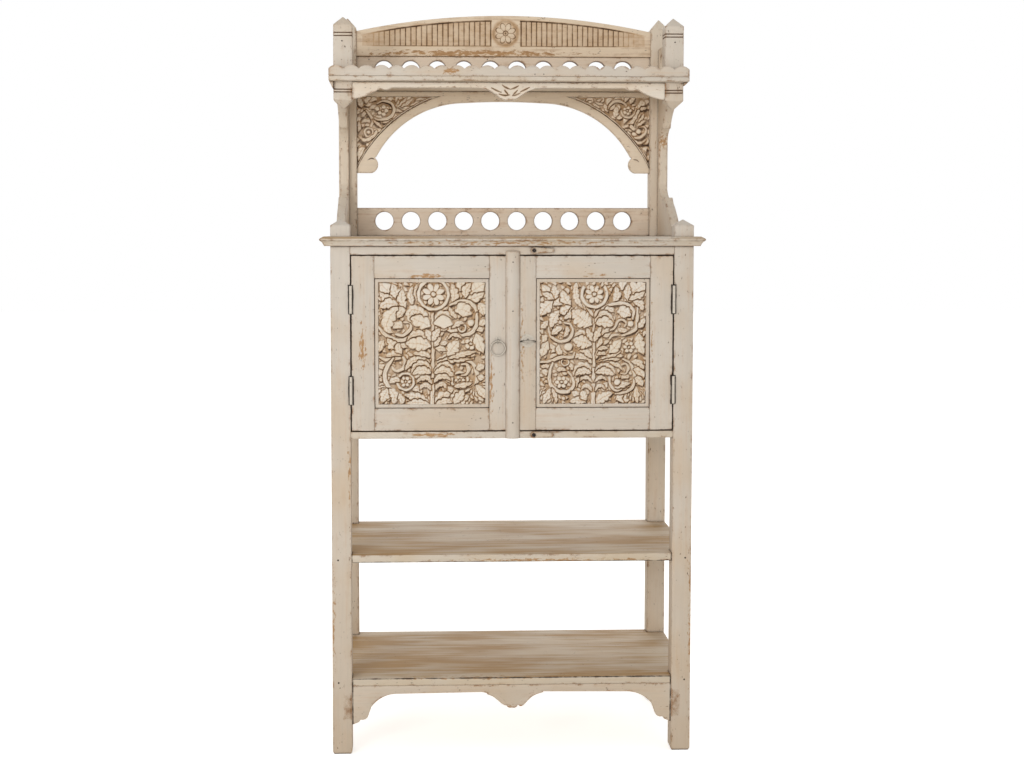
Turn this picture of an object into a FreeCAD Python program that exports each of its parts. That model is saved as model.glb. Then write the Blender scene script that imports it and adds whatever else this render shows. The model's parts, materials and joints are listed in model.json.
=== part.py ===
import FreeCAD
import Part
import Sketcher
import math
import os
import types

# Carved cabinet on open shelves, with a bracketed upper stage
# Millimetres, +Z up, front towards -Y, origin under the middle of the whole piece

SIZES = [
    ("half_width", "420", "middle to the outer face of a leg"),
    ("leg", "45", "square section of legs and posts"),
    ("rear_face", "395", "front of the front legs to the front of the rear posts"),
    ("board", "18", "thickness of shelves, aprons and rails"),
    ("lower_shelf", "180", "top of the bottom shelf"),
    ("middle_shelf", "471.5", "top of the middle shelf"),
    ("floor_top", "760", "top of the cabinet floor"),
    ("floor_board", "16", "thickness of the cabinet floor"),
    ("cabinet_under", "1190", "underside of the cabinet top"),
    ("top_board", "22", "thickness of the cabinet top"),
    ("top_over", "24", "overhang of the cabinet top"),
    ("rail_height", "20", "height of the rail over the doors"),
    ("door_gap", "2.4", "gap above and below the doors"),
    ("door_thick", "20", "thickness of the doors"),
    ("stile", "53", "width of door stiles"),
    ("door_rail", "52", "height of door rails"),
    ("field_margin", "9", "width of the plain band round the carved ground"),
    ("ground", "5", "depth of the carved ground below its band"),
    ("meeting", "1", "half of the gap between the doors"),
    ("hinge_gap", "2.4", "gap between a door and its leg"),
    ("hinge_height", "64", "height of a butt hinge"),
    ("bead_half", "17", "half the width of the meeting bead"),
    ("bead_proud", "9", "how far the bead stands out"),
    ("ring_across", "16.75", "middle radius of a ring"),
    ("ring_wire", "1.75", "radius of the ring wire"),
    ("ring_out", "6.5", "eye centre in front of the door"),
    ("ring_x", "34.5", "ring eyes from the middle"),
    ("ring_rise", "6", "ring eyes above the middle of the doors"),
    ("toggle_x", "49", "turn-button pivots right of the middle"),
    ("toggle_reach", "42", "pivot to the centre of the tip"),
    ("toggle_thick", "6", "thickness of a turn button"),
    ("block_side", "25.5", "cabinet top to the shoulder of the front leg tops"),
    ("block_point", "14", "shoulder to the point of the front leg tops"),
    ("alcove", "369", "cabinet top to the underside of the upper shelf"),
    ("upper_front", "162", "front of the legs to the front of the upper posts"),
    ("upper_board", "14", "thickness of the upper shelf"),
    ("upper_over", "28", "front overhang of the upper shelf"),
    ("side_over", "10", "side overhang of the upper shelf"),
    ("pendant_drop", "44", "upper shelf to the lower shoulder of the upper posts"),
    ("pendant_point", "19", "lower shoulder to the lowest point of the upper posts"),
    ("front_finial", "120.5", "upper shelf to the shoulder of the front finials"),
    ("front_point", "20.5", "shoulder to the point of the front finials"),
    ("rear_finial", "7", "crest ends to the shoulder of the rear finials"),
    ("rear_point", "26", "shoulder to the point of the rear finials"),
    ("gallery", "72", "height of the lower pierced rail"),
    ("upper_gallery", "73.5", "height of the upper pierced rail"),
    ("hole", "23.3", "radius of the pierced holes"),
    ("hole_pitch", "67.9", "spacing of the pierced holes"),
    ("crest_height", "62.5", "height of the crest at the posts"),
    ("crest_rise", "40", "rise of the crest in the middle"),
    ("crest_block", "38", "half the width of the plain block in the crest"),
    ("crest_shift", "5", "plain block right of the middle"),
    ("side_rail", "92", "height of the side galleries"),
    ("arch_height", "208", "height of the arch board"),
    ("arch_band", "26", "board left over the top of the arch"),
    ("pocket", "4", "depth of the carved corners of the arch board"),
    ("bracket_thick", "21", "thickness of the side brackets"),
    ("bracket_set", "4.5", "outer face of a leg to the outer face of a bracket"),
    ("bracket_foot", "246", "length of a bracket's foot"),
    ("bracket_neck", "18", "narrowest part of a bracket"),
    ("scallop_rise", "8.5", "rise of the scallops"),
    ("strip_low", "14", "height of the strip under its scallops"),
    ("housing", "8", "depth of housings in the posts"),
    ("let_in", "3", "depth of the grooves that rails and brackets stand in"),
    ("back_face", "=rear_face + leg", "front of the legs to the rear of the posts"),
    ("ring_reach", "=ring_out + 2 * ring_across + ring_wire", "lifted ring in front of the legs"),
    ("front_y", "=-(back_face - ring_reach) / 2", "front of the legs in this frame"),
    ("top_top", "=cabinet_under + top_board", "upper face of the cabinet top"),
    ("upper_under", "=top_top + alcove", "underside of the upper shelf"),
    ("shelf_top", "=upper_under + upper_board", "upper face of the upper shelf"),
    ("crest_low", "=shelf_top + upper_gallery", "lower edge of the crest"),
    ("crest_end", "=crest_low + crest_height", "top of the crest at the posts"),
    ("crest_radius", "=((half_width - leg)^2 + crest_rise^2) / (2 * crest_rise)", "crest arc"),
]

doc = FreeCAD.newDocument("carved_cabinet")
sheet = doc.addObject("Spreadsheet::Sheet", "Sheet")
for row, (alias, cell, note) in enumerate(SIZES, 1):
    sheet.set("A%d" % row, note)
    sheet.set("B%d" % row, cell)
    sheet.setAlias("B%d" % row, alias)
doc.recompute()


class Size:
    """A length that carries its formula on the sheet and its present value."""

    def __init__(self, text, value):
        self.text = text
        self.value = value

    def __add__(self, other):
        other = size(other)
        return Size("(%s + %s)" % (self.text, other.text), self.value + other.value)

    def __sub__(self, other):
        other = size(other)
        return Size("(%s - %s)" % (self.text, other.text), self.value - other.value)

    def __mul__(self, other):
        other = size(other)
        return Size("(%s * %s)" % (self.text, other.text), self.value * other.value)

    def __truediv__(self, other):
        other = size(other)
        return Size("(%s / %s)" % (self.text, other.text), self.value / other.value)

    def __rsub__(self, other):
        return size(other) - self

    def __neg__(self):
        return size(0) - self

    def root(self):
        return Size("sqrt(%s)" % self.text, math.sqrt(self.value))

    __radd__ = __add__
    __rmul__ = __mul__


def size(number):
    if isinstance(number, Size):
        return number
    return Size("(%.6f)" % number, float(number))


s = types.SimpleNamespace()
for alias, cell, note in SIZES:
    setattr(s, alias, Size("Sheet." + alias, float(getattr(sheet, alias))))


def bind(item, prop, value):
    item.setExpression(prop, size(value).text)


def place(item, x, y, z):
    bind(item, "Placement.Base.x", x)
    bind(item, "Placement.Base.y", y)
    bind(item, "Placement.Base.z", z)


def turned(item, axis, angle):
    item.Placement = FreeCAD.Placement(FreeCAD.Vector(), FreeCAD.Rotation(axis, angle))


ALONG_X = FreeCAD.Vector(1, 0, 0)
ALONG_Y = FreeCAD.Vector(0, 1, 0)


def box(name, x, y, z, length, width, height):
    item = doc.addObject("Part::Box", name)
    bind(item, "Length", length)
    bind(item, "Width", width)
    bind(item, "Height", height)
    place(item, x, y, z)
    return item


def across(name, side, near, far, y, z, width, height):
    """A box between two distances from the middle, on the side given by its sign."""
    low = near if side > 0 else -far
    return box(name, low, y, z, far - near, width, height)


def rod(name, axis, x, y, z, radius, height):
    """A cylinder that runs up, towards the front or to the right."""
    item = doc.addObject("Part::Cylinder", name)
    if axis == "front":
        turned(item, ALONG_X, 90)
    elif axis == "right":
        turned(item, ALONG_Y, 90)
    bind(item, "Radius", radius)
    bind(item, "Height", height)
    place(item, x, y, z)
    return item


def hoop(name, axis, x, y, z, radius, wire):
    item = doc.addObject("Part::Torus", name)
    if axis == "front":
        turned(item, ALONG_X, 90)
    elif axis == "right":
        turned(item, ALONG_Y, 90)
    bind(item, "Radius1", radius)
    bind(item, "Radius2", wire)
    place(item, x, y, z)
    return item


def taper(name, x, y, z, width, depth, height, low, high, back=1):
    """A block whose sides slope in by low at its foot and by high at its head."""
    item = doc.addObject("Part::Wedge", name)
    turned(item, ALONG_X, 90)
    bind(item, "Ymin", 0)
    bind(item, "Ymax", height)
    bind(item, "Xmin", low)
    bind(item, "Xmax", width - low)
    bind(item, "X2min", high)
    bind(item, "X2max", width - high)
    bind(item, "Zmin", size(low) * back)
    bind(item, "Zmax", depth - low)
    bind(item, "Z2min", size(high) * back)
    bind(item, "Z2max", depth - high)
    place(item, x, y + depth, z)
    return item


def join(name, items):
    item = doc.addObject("Part::MultiFuse", name)
    item.Shapes = items
    item.Refine = True
    return item


def group(name, items):
    item = doc.addObject("Part::Compound", name)
    item.Links = items
    return item


def cut(name, base, tools):
    item = doc.addObject("Part::Cut", name)
    item.Base = base
    item.Tool = tools[0] if len(tools) == 1 else group(name + "_tools", tools)
    item.Refine = True
    return item


FRONT = FreeCAD.Rotation(ALONG_X, 90)
SIDE = FreeCAD.Rotation(
    FreeCAD.Vector(0, 1, 0), FreeCAD.Vector(0, 0, 1), FreeCAD.Vector(1, 0, 0), "ZXY"
)
PLAN = FreeCAD.Rotation()


def curve(start, end, radius):
    """A line, or an arc that turns left for a positive radius and right for a negative one."""
    a = FreeCAD.Vector(start[0].value, start[1].value, 0)
    b = FreeCAD.Vector(end[0].value, end[1].value, 0)
    if radius is None:
        return Part.LineSegment(a, b), 1, 2
    reach = abs(radius.value)
    along = b - a
    left = FreeCAD.Vector(-along.y, along.x, 0) / along.Length
    rise = math.sqrt(max(reach * reach - along.Length * along.Length / 4, 0))
    centre = (a + b) / 2 + left * math.copysign(rise, radius.value)
    first = math.atan2(a.y - centre.y, a.x - centre.x)
    last = math.atan2(b.y - centre.y, b.x - centre.x)
    circle = Part.Circle(centre, FreeCAD.Vector(0, 0, 1), reach)
    if radius.value > 0:
        return Part.ArcOfCircle(circle, first, last), 1, 2
    return Part.ArcOfCircle(circle, last, first), 2, 1


def span(a, b):
    """The distance between two corners."""
    return ((b[0] - a[0]) * (b[0] - a[0]) + (b[1] - a[1]) * (b[1] - a[1])).root()


def plate(name, turn, x, y, z, path, thick):
    """A padded outline. Each corner of the path is (across, up, bend of the edge that leaves it).
    A bend is a radius, or a bare number of times the distance to the next corner."""
    body = doc.addObject("PartDesign::Body", name)
    sketch = body.newObject("Sketcher::SketchObject", name + "_outline")
    sketch.Placement = FreeCAD.Placement(FreeCAD.Vector(), turn)
    place(sketch, x, y, z)
    corners = [(size(p[0]), size(p[1])) for p in path]
    radii = [None] * len(path)
    for i, point in enumerate(path):
        if len(point) > 2:
            radii[i] = point[2]
            if not isinstance(point[2], Size):
                radii[i] = span(corners[i], corners[(i + 1) % len(path)]) * point[2]
    edges = []
    for i, corner in enumerate(corners):
        shape, first, last = curve(corner, corners[(i + 1) % len(corners)], radii[i])
        edges.append((sketch.addGeometry(shape, False), first, last))
    rules = []
    texts = []
    for i, (edge, first, last) in enumerate(edges):
        after = edges[(i + 1) % len(edges)]
        rules.append(Sketcher.Constraint("Coincident", edge, last, after[0], after[1]))
        texts.append(None)
        for kind, value in zip(("DistanceX", "DistanceY"), corners[i]):
            rules.append(Sketcher.Constraint(kind, -1, 1, edge, first, value.value))
            texts.append(value.text)
        if radii[i] is not None:
            rules.append(Sketcher.Constraint("Radius", edge, abs(radii[i].value)))
            texts.append(radii[i].text if radii[i].value > 0 else (-radii[i]).text)
    sketch.addConstraint(rules)
    for i, text in enumerate(texts):
        if text:
            sketch.setExpression("Constraints[%d]" % i, text)
    pad = body.newObject("PartDesign::Pad", name + "_pad")
    pad.Profile = sketch
    bind(pad, "Length", thick)
    return body


def mirrored(half):
    """A whole outline from its right half, which starts on the middle line."""
    left = []
    for i in range(len(half) - 1, 0, -1):
        left.append((-size(half[i][0]), half[i][1]) + half[i - 1][2:])
    return half + left


nodes = {}
y0 = s.front_y
inner = s.half_width - s.leg
rear_y = y0 + s.rear_face
back_y = y0 + s.back_face
upper_y = y0 + s.upper_front
shelf_top = s.shelf_top
top_top = s.top_top
up = s.upper_under
door_low = s.floor_top + s.door_gap
door_high = s.cabinet_under - s.rail_height - s.door_gap
door_tall = door_high - door_low
rail_low = s.cabinet_under - s.rail_height
ring_z = (s.floor_top + rail_low) / 2 + s.ring_rise
block_shoulder = top_top + s.block_side
pendant_low = up - s.pendant_drop
front_shoulder = shelf_top + s.front_finial
rear_shoulder = s.crest_end + s.rear_finial
panel_y = y0 + s.rear_face + 11
SIDES = (("left", -1), ("right", 1))

# Shafts of the legs and posts, used whole to notch the boards
shafts = {}
FOOT = 6
for side, sign in SIDES:
    x = inner if sign > 0 else -s.half_width
    shafts["front_" + side] = box(
        "front_%s_shaft" % side, x, y0, FOOT, s.leg, s.leg, block_shoulder - FOOT
    )
    shafts["rear_" + side] = box(
        "rear_%s_shaft" % side, x, rear_y, FOOT, s.leg, s.leg, rear_shoulder - FOOT
    )
    shafts["upper_" + side] = box(
        "upper_%s_shaft" % side,
        x,
        upper_y,
        pendant_low,
        s.leg,
        s.leg,
        front_shoulder - pendant_low,
    )
lower_shafts = [shafts[k + side] for k in ("front_", "rear_") for side, sign in SIDES]
upper_shafts = [shafts[k + side] for k in ("upper_", "rear_") for side, sign in SIDES]

# Shelves and cabinet floor, notched round the legs
for name, top, thick in (
    ("bottom_shelf", s.lower_shelf, s.board),
    ("middle_shelf", s.middle_shelf, s.board),
    ("cabinet_floor", s.floor_top, s.floor_board),
):
    whole = box(
        name + "_board",
        -s.half_width,
        y0,
        top - thick,
        s.half_width * 2,
        s.back_face - 15,
        thick,
    )
    nodes[name] = cut(name, whole, lower_shafts)

# Lower apron, with a tenon at each end
under = s.lower_shelf - s.board
half = [
    (0, under - 55, 0.64),
    (14, under - 48, -1.16),
    (58, under - 21, -2.18),
    (76, under - 17.5),
    (inner - 105, under - 19.5, -1.11),
    (inner - 45, under - 50),
    (inner - 38, under - 70, 0.68),
    (inner - 20, under - 80),
    (inner - 16, under - 86),
    (inner, under - 92),
    (inner, under),
]
apron_parts = [plate("lower_apron_plate", FRONT, 0, y0 + s.board, 0, mirrored(half), s.board)]
for side, sign in SIDES:
    apron_parts.append(
        across("lower_tenon_" + side, sign, inner, inner + 20, y0 + 5, under - 80, 8, 66)
    )
nodes["lower_apron"] = join("lower_apron", apron_parts)

# Rail over the doors, with the upper turn button's screw in it
rail_parts = [box("top_rail_bar", -inner, y0, rail_low, inner * 2, s.door_thick, s.rail_height)]
for side, sign in SIDES:
    rail_parts.append(
        across(
            "rail_tenon_" + side,
            sign,
            inner,
            inner + 15,
            y0 + 6,
            rail_low + 3,
            8,
            s.rail_height - 6,
        )
    )
rail_whole = join("top_rail_whole", rail_parts)

# Turn buttons and their screws
for level, z in (
    ("upper", s.cabinet_under - s.rail_height / 2),
    ("lower", s.floor_top - s.floor_board / 2),
):
    front = y0 - 0.2 - s.toggle_thick
    nodes[level + "_toggle_screw"] = join(
        level + "_toggle_screw",
        [
            rod(level + "_screw_shank", "front", s.toggle_x, y0 + 14, z, 2.5, y0 + 14.2 - front),
            rod(level + "_screw_head", "front", s.toggle_x, front - 0.2, z, 4.6, 2),
        ],
    )
    path = [
        (0, -7.8),
        (s.toggle_reach, -4.4, size(4.4)),
        (s.toggle_reach + 4.4, 0, size(4.4)),
        (s.toggle_reach, 4.4),
        (0, 7.8, size(7.8)),
        (-7.8, 0, size(7.8)),
    ]
    blade = plate(level + "_toggle_blade", FRONT, s.toggle_x, y0 - 0.2, z, path, s.toggle_thick)
    eye = rod(level + "_toggle_eye", "front", s.toggle_x, y0 + 1, z, 2.55, s.toggle_thick + 2)
    nodes[level + "_toggle"] = cut(level + "_toggle", blade, [eye])
nodes["top_rail"] = cut("top_rail", rail_whole, [nodes["upper_toggle_screw"]])
nodes["cabinet_floor"].Label = "cabinet_floor_notched"
nodes["cabinet_floor"] = cut(
    "cabinet_floor_bored", nodes["cabinet_floor"], [nodes["lower_toggle_screw"]]
)

# Side and back panels, housed in the legs
for side, sign in SIDES:
    nodes[side + "_side_panel"] = across(
        side + "_side_panel",
        sign,
        s.half_width - 20,
        s.half_width - 6,
        y0 + s.leg - s.housing,
        s.floor_top,
        s.rear_face - s.leg + s.housing * 2,
        s.cabinet_under - s.floor_top,
    )
nodes["back_panel"] = box(
    "back_panel",
    -inner - s.housing,
    back_y - 29,
    s.floor_top,
    (inner + s.housing) * 2,
    14,
    s.cabinet_under - s.floor_top,
)

# Cabinet top with a moulded nose on three sides
top_half = s.half_width + s.top_over
top_depth = s.back_face + s.top_over
top_parts = []
level = s.cabinet_under
steps = [("foot", 2, 10, 10), ("cove", 6.5, 10, 6), ("throat", 4.5, 6, 0), ("nose", 3.5, 0, 0)]
steps.append(("round", s.top_board - 16.5, 0, 9))
for part, rise, low, high in steps:
    top_parts.append(
        taper(
            "top_" + part,
            -top_half,
            y0 - s.top_over,
            level,
            top_half * 2,
            top_depth,
            rise,
            low,
            high,
            0,
        )
    )
    level = level + rise
top_whole = join("cabinet_top_board", top_parts)

# Crest, with a row of upright flutes on each side of its middle
crest_y = rear_y + 6
crest_side = inner + s.housing
crest_drop = s.crest_end + s.crest_rise - s.crest_radius
crest_edge = crest_drop + (s.crest_radius * s.crest_radius - crest_side * crest_side).root()
crest = plate(
    "crest_plate",
    FRONT,
    0,
    crest_y + s.board,
    0,
    [
        (-crest_side, s.crest_low),
        (crest_side, s.crest_low),
        (crest_side, crest_edge, s.crest_radius),
        (-crest_side, crest_edge),
    ],
    s.board,
)
flutes = []
FLUTES = 24
flute_low = s.crest_low + 28
flute_end = inner - 18
for side, sign in SIDES:
    for i in range(FLUTES):
        first = s.crest_block + s.crest_shift * sign
        near = first + (flute_end - first) * (i / FLUTES)
        far = near + (flute_end - first) * (0.44 / FLUTES)
        top = crest_drop + (s.crest_radius * s.crest_radius - far * far).root() - 15
        flutes.append(
            across(
                "flute_%s_%d" % (side, i),
                sign,
                near,
                far,
                crest_y - 1,
                flute_low,
                3,
                top - flute_low,
            )
        )
nodes["crest_board"] = cut("crest_board", crest, flutes)

# Pierced rails between the rear posts
hole_count = math.floor(((inner * 2 - s.leg) / s.hole_pitch).value)
for name, low, height in (
    ("lower_gallery_rail", top_top, s.gallery),
    ("upper_gallery_rail", shelf_top, s.upper_gallery),
):
    rail = box(
        name + "_board",
        -crest_side,
        panel_y,
        low - s.let_in,
        crest_side * 2,
        s.board,
        height + s.let_in,
    )
    holes = [
        rod(
            "%s_hole_%d" % (name, i),
            "front",
            s.hole_pitch * (i - (hole_count - 1) / 2),
            panel_y + s.board + 1,
            low + height * 0.537,
            s.hole,
            s.board + 2,
        )
        for i in range(hole_count)
    ]
    nodes[name] = cut(name, rail, holes)

# Arch board between the rear posts, with a rounded scroll at each foot
arch_crown = up - s.arch_band
arch_low = up - s.arch_height
arch_rise = s.arch_height - s.arch_band
half = [
    (0, arch_crown, -16.2),
    (inner * 0.2587, arch_crown - 3, -0.973),
    (inner - 49, arch_crown - arch_rise * 0.772),
    (inner - 45, arch_crown - arch_rise * 0.786, 0.553),
    (inner - 37, arch_low),
    (crest_side, arch_low),
    (crest_side, up),
]
arch_plate = plate("arch_plate", FRONT, 0, panel_y + s.board, 0, mirrored(half), s.board)
pockets = []
pocket_top = up - 14
for side, sign in SIDES:
    path = [
        (inner * sign, pocket_top),
        (inner * 0.44 * sign, pocket_top, -1.29 * sign),
        (inner * sign, arch_low + 12),
    ]
    pockets.append(
        plate(side + "_arch_pocket", FRONT, 0, panel_y + s.pocket, 0, path, s.pocket + 1)
    )
nodes["arch_board"] = cut("arch_board", arch_plate, pockets)

# Upper apron with a leaf drop in the middle, tenoned into the upper posts
half = [
    (0, up - 43.5, 2.17),
    (18, up - 39.5),
    (38, up - 26, -2.05),
    (70, up - 14),
    (inner - 94, up - 14, 0.8),
    (inner - 67, up - 15, 2.18),
    (inner, up - 41),
    (inner, up),
]
upper_parts = [plate("upper_apron_plate", FRONT, 0, upper_y + s.board, 0, mirrored(half), s.board)]
for side, sign in SIDES:
    upper_parts.append(
        across("upper_tenon_" + side, sign, inner, inner + 12, upper_y + 5, up - 34, 8, 28)
    )
nodes["upper_apron"] = join("upper_apron", upper_parts)

# Upper shelf, its scalloped strip and the mouldings under its ends
shelf_half = s.half_width + s.side_over
shelf_y = upper_y - s.upper_over
shelf_whole = box(
    "upper_shelf_board",
    -shelf_half,
    shelf_y,
    up,
    shelf_half * 2,
    s.back_face - s.upper_front + s.upper_over,
    s.upper_board,
)
SCALLOPS = 24
pitch = shelf_half * 2 / SCALLOPS
scallop = (pitch * pitch / 4 + s.scallop_rise * s.scallop_rise) / (s.scallop_rise * 2)
cusp = shelf_top + s.strip_low
strip_foot = shelf_top - s.let_in
path = [(-shelf_half, strip_foot), (shelf_half, strip_foot)]
for i in range(SCALLOPS):
    path.append((shelf_half - pitch * i, cusp, scallop))
path.append((-shelf_half, cusp))
nodes["scalloped_strip"] = plate("scalloped_strip", FRONT, 0, shelf_y + 10, 0, path, 10)
for side, sign, drop in (("left", -1, 19), ("right", 1, 9)):
    path = [
        (s.half_width * sign, up - drop),
        (shelf_half * sign, up),
        (s.half_width * sign, up),
    ]
    nodes[side + "_moulding"] = plate(
        side + "_moulding", FRONT, 0, back_y, 0, path, s.back_face - s.upper_front + 12
    )

# Side brackets and the galleries in line with them above the shelf
post_back = s.upper_front + s.leg
for side, sign in SIDES:
    outer = s.half_width - s.bracket_set
    x = outer - s.bracket_thick if sign > 0 else -outer
    neck = s.rear_face - s.bracket_neck
    toe = s.rear_face - s.bracket_foot
    path = [
        (post_back, up),
        (post_back, up - s.alcove * 0.111, -1.6),
        (s.rear_face - s.bracket_foot * 0.337, up - s.alcove * 0.23),
        (s.rear_face - s.bracket_foot * 0.297, up - s.alcove * 0.268, -0.76),
        (neck, up - s.alcove * 0.404),
        (neck, top_top + s.alcove * 0.36, -0.8),
        (s.rear_face - s.bracket_foot * 0.459, top_top + s.alcove * 0.2615),
        (s.rear_face - s.bracket_foot * 0.528, top_top + s.alcove * 0.222, 2.39),
        (toe, top_top),
        (toe, top_top - s.let_in),
        (s.rear_face, top_top - s.let_in),
        (s.rear_face, up),
    ]
    nodes[side + "_bracket"] = plate(side + "_bracket", SIDE, x, y0, 0, path, s.bracket_thick)
    rail = box(
        side + "_gallery_board",
        x,
        upper_y + s.leg,
        shelf_top - s.let_in,
        s.bracket_thick,
        s.rear_face - post_back,
        s.side_rail + s.let_in,
    )
    holes = [
        rod(
            "%s_gallery_hole_%d" % (side, i),
            "right",
            x - 1,
            upper_y + s.leg + (s.rear_face - post_back) * (0.25 + 0.5 * i),
            shelf_top + s.side_rail * 0.543,
            s.hole,
            s.bracket_thick + 2,
        )
        for i in range(2)
    ]
    nodes[side + "_side_gallery"] = cut(side + "_side_gallery", rail, holes)

# Cabinet top and upper shelf, grooved for what stands on them
standing = [nodes[k] for k in ("left_bracket", "right_bracket", "lower_gallery_rail")]
nodes["cabinet_top"] = cut("cabinet_top", top_whole, lower_shafts + standing)
standing = [
    nodes[k]
    for k in ("left_side_gallery", "right_side_gallery", "upper_gallery_rail", "scalloped_strip")
]
nodes["upper_shelf"] = cut("upper_shelf", shelf_whole, upper_shafts + standing)

# Doors: framed panels with butt hinges
edge = inner - s.hinge_gap
open_near = s.meeting + s.stile
open_far = edge - s.stile
low_rail = door_low + s.door_rail
high_rail = door_high - s.door_rail
pivot_y = y0 - 4
frame_leaves = {"left": [], "right": []}
for side, sign in SIDES:
    panel_parts = [
        across(
            side + "_panel_board",
            sign,
            open_near - 7,
            open_far + 7,
            y0 + 7,
            low_rail - 7,
            6,
            high_rail - low_rail + 14,
        ),
        across(
            side + "_panel_band",
            sign,
            open_near + 1,
            open_far - 1,
            y0 + 3,
            low_rail + 1,
            4,
            high_rail - low_rail - 2,
        ),
    ]
    ground = across(
        side + "_panel_ground",
        sign,
        open_near + s.field_margin,
        open_far - s.field_margin,
        y0 + 2,
        low_rail + s.field_margin,
        s.ground + 1,
        high_rail - low_rail - s.field_margin * 2,
    )
    panel = cut(side + "_door_panel", join(side + "_panel_whole", panel_parts), [ground])
    nodes[side + "_door_panel"] = panel
    rails = []
    for level, low in (("top", high_rail), ("bottom", door_low)):
        name = "%s_door_%s_rail" % (side, level)
        bar = across(
            name + "_bar", sign, open_near, open_far, y0, low, s.door_thick, s.door_rail
        )
        tenon = across(
            name + "_tenon",
            sign,
            open_near - 34,
            open_far + 34,
            y0 + 6,
            low + 8,
            8,
            s.door_rail - 16,
        )
        whole = join(name + "_whole", [bar, tenon])
        rails.append(whole)
        nodes[name] = cut(name, whole, [panel])
    leaves = []
    for level, share in (("upper", 0.7507), ("lower", 0.232)):
        name = "%s_%s" % (side, level)
        pivot_x = (inner - s.hinge_gap / 2) * sign
        low = door_low + door_tall * share - s.hinge_height / 2
        third = s.hinge_height * 0.31
        near = inner - 0.4
        frame_parts = [
            across(name + "_frame_flap", sign, near, near + 1.5, y0 + 0.6, low, 24, s.hinge_height),
            rod(name + "_pin", "up", pivot_x, pivot_y, low, 1.8, s.hinge_height),
        ]
        for place_name, foot in (("a", low), ("b", low + s.hinge_height - third)):
            frame_parts.append(
                across(
                    "%s_frame_tab_%s" % (name, place_name),
                    sign,
                    near,
                    near + 1.5,
                    pivot_y,
                    foot,
                    4.6,
                    third,
                )
            )
            frame_parts.append(
                rod("%s_frame_knuckle_%s" % (name, place_name), "up", pivot_x, pivot_y, foot, 4, third)
            )
        frame_leaf = join(name + "_frame_leaf", frame_parts)
        nodes[name + "_frame_leaf"] = frame_leaf
        frame_leaves[side].append(frame_leaf)
        far = edge + 0.4
        foot = low + third + 0.3
        middle = s.hinge_height - third * 2 - 0.6
        solid = join(
            name + "_door_leaf_solid",
            [
                across(name + "_door_flap", sign, far - 1.5, far, y0 + 0.6, low, 18, s.hinge_height),
                across(name + "_door_tab", sign, far - 1.5, far, pivot_y, foot, 4.6, middle),
                rod(name + "_door_knuckle", "up", pivot_x, pivot_y, foot, 4, middle),
            ],
        )
        bore = rod(name + "_bore", "up", pivot_x, pivot_y, foot - 1, 1.85, middle + 2)
        nodes[name + "_door_leaf"] = cut(name + "_door_leaf", solid, [bore])
        leaves.append(nodes[name + "_door_leaf"])
    for kind, near, far in (("hinge", open_far, edge), ("lock", s.meeting, open_near)):
        name = "%s_door_%s_stile" % (side, kind)
        bar = across(name + "_bar", sign, near, far, y0, door_low, s.door_thick, door_high - door_low)
        tools = rails + [panel] + (leaves if kind == "hinge" else [])
        nodes[name] = cut(name, bar, tools)

# Half-round bead on the right door, relieved where it laps the left door
bead_radius = (s.bead_half * s.bead_half + s.bead_proud * s.bead_proud) / (s.bead_proud * 2)
path = [
    (-s.bead_half, -0.4, bead_radius),
    (s.bead_half, -0.4),
    (s.bead_half, 0),
    (s.meeting, 0),
    (s.meeting, -0.4),
]
bead_low = s.floor_top - s.floor_board
nodes["meeting_bead"] = plate(
    "meeting_bead", PLAN, 0, y0, bead_low, path, rail_low + 8 - bead_low
)

# Ring plates with their eyes, and the rings
eye_y = y0 - s.ring_out
for side, sign in SIDES:
    x = s.ring_x * sign
    parts = [
        rod(side + "_eye_shank", "front", x, y0, ring_z, 1.4, s.ring_out * 0.5),
        hoop(side + "_eye", "right", x, eye_y, ring_z, s.ring_out * 0.615, 1.4),
    ]
    if sign < 0:
        parts.append(rod(side + "_plate_disc", "front", x, y0, ring_z, 6, 1.5))
        for i in range(6):
            turn = math.radians(60 * i)
            parts.append(
                rod(
                    "%s_petal_%d" % (side, i),
                    "front",
                    x + 7 * math.cos(turn),
                    y0,
                    ring_z + 7 * math.sin(turn),
                    3,
                    1.2,
                )
            )
        ring = hoop(
            side + "_ring", "front", x, eye_y, ring_z - s.ring_across, s.ring_across, s.ring_wire
        )
    else:
        parts.append(rod(side + "_plate_disc", "front", x, y0, ring_z, 15.5, 1.2))
        parts.append(rod(side + "_plate_boss", "front", x, y0, ring_z, 9, 2.2))
        ring = hoop(
            side + "_ring", "up", x, eye_y - s.ring_across, ring_z, s.ring_across, s.ring_wire
        )
    nodes[side + "_ring_plate"] = join(side + "_ring_plate", parts)
    nodes[side + "_ring"] = ring

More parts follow.
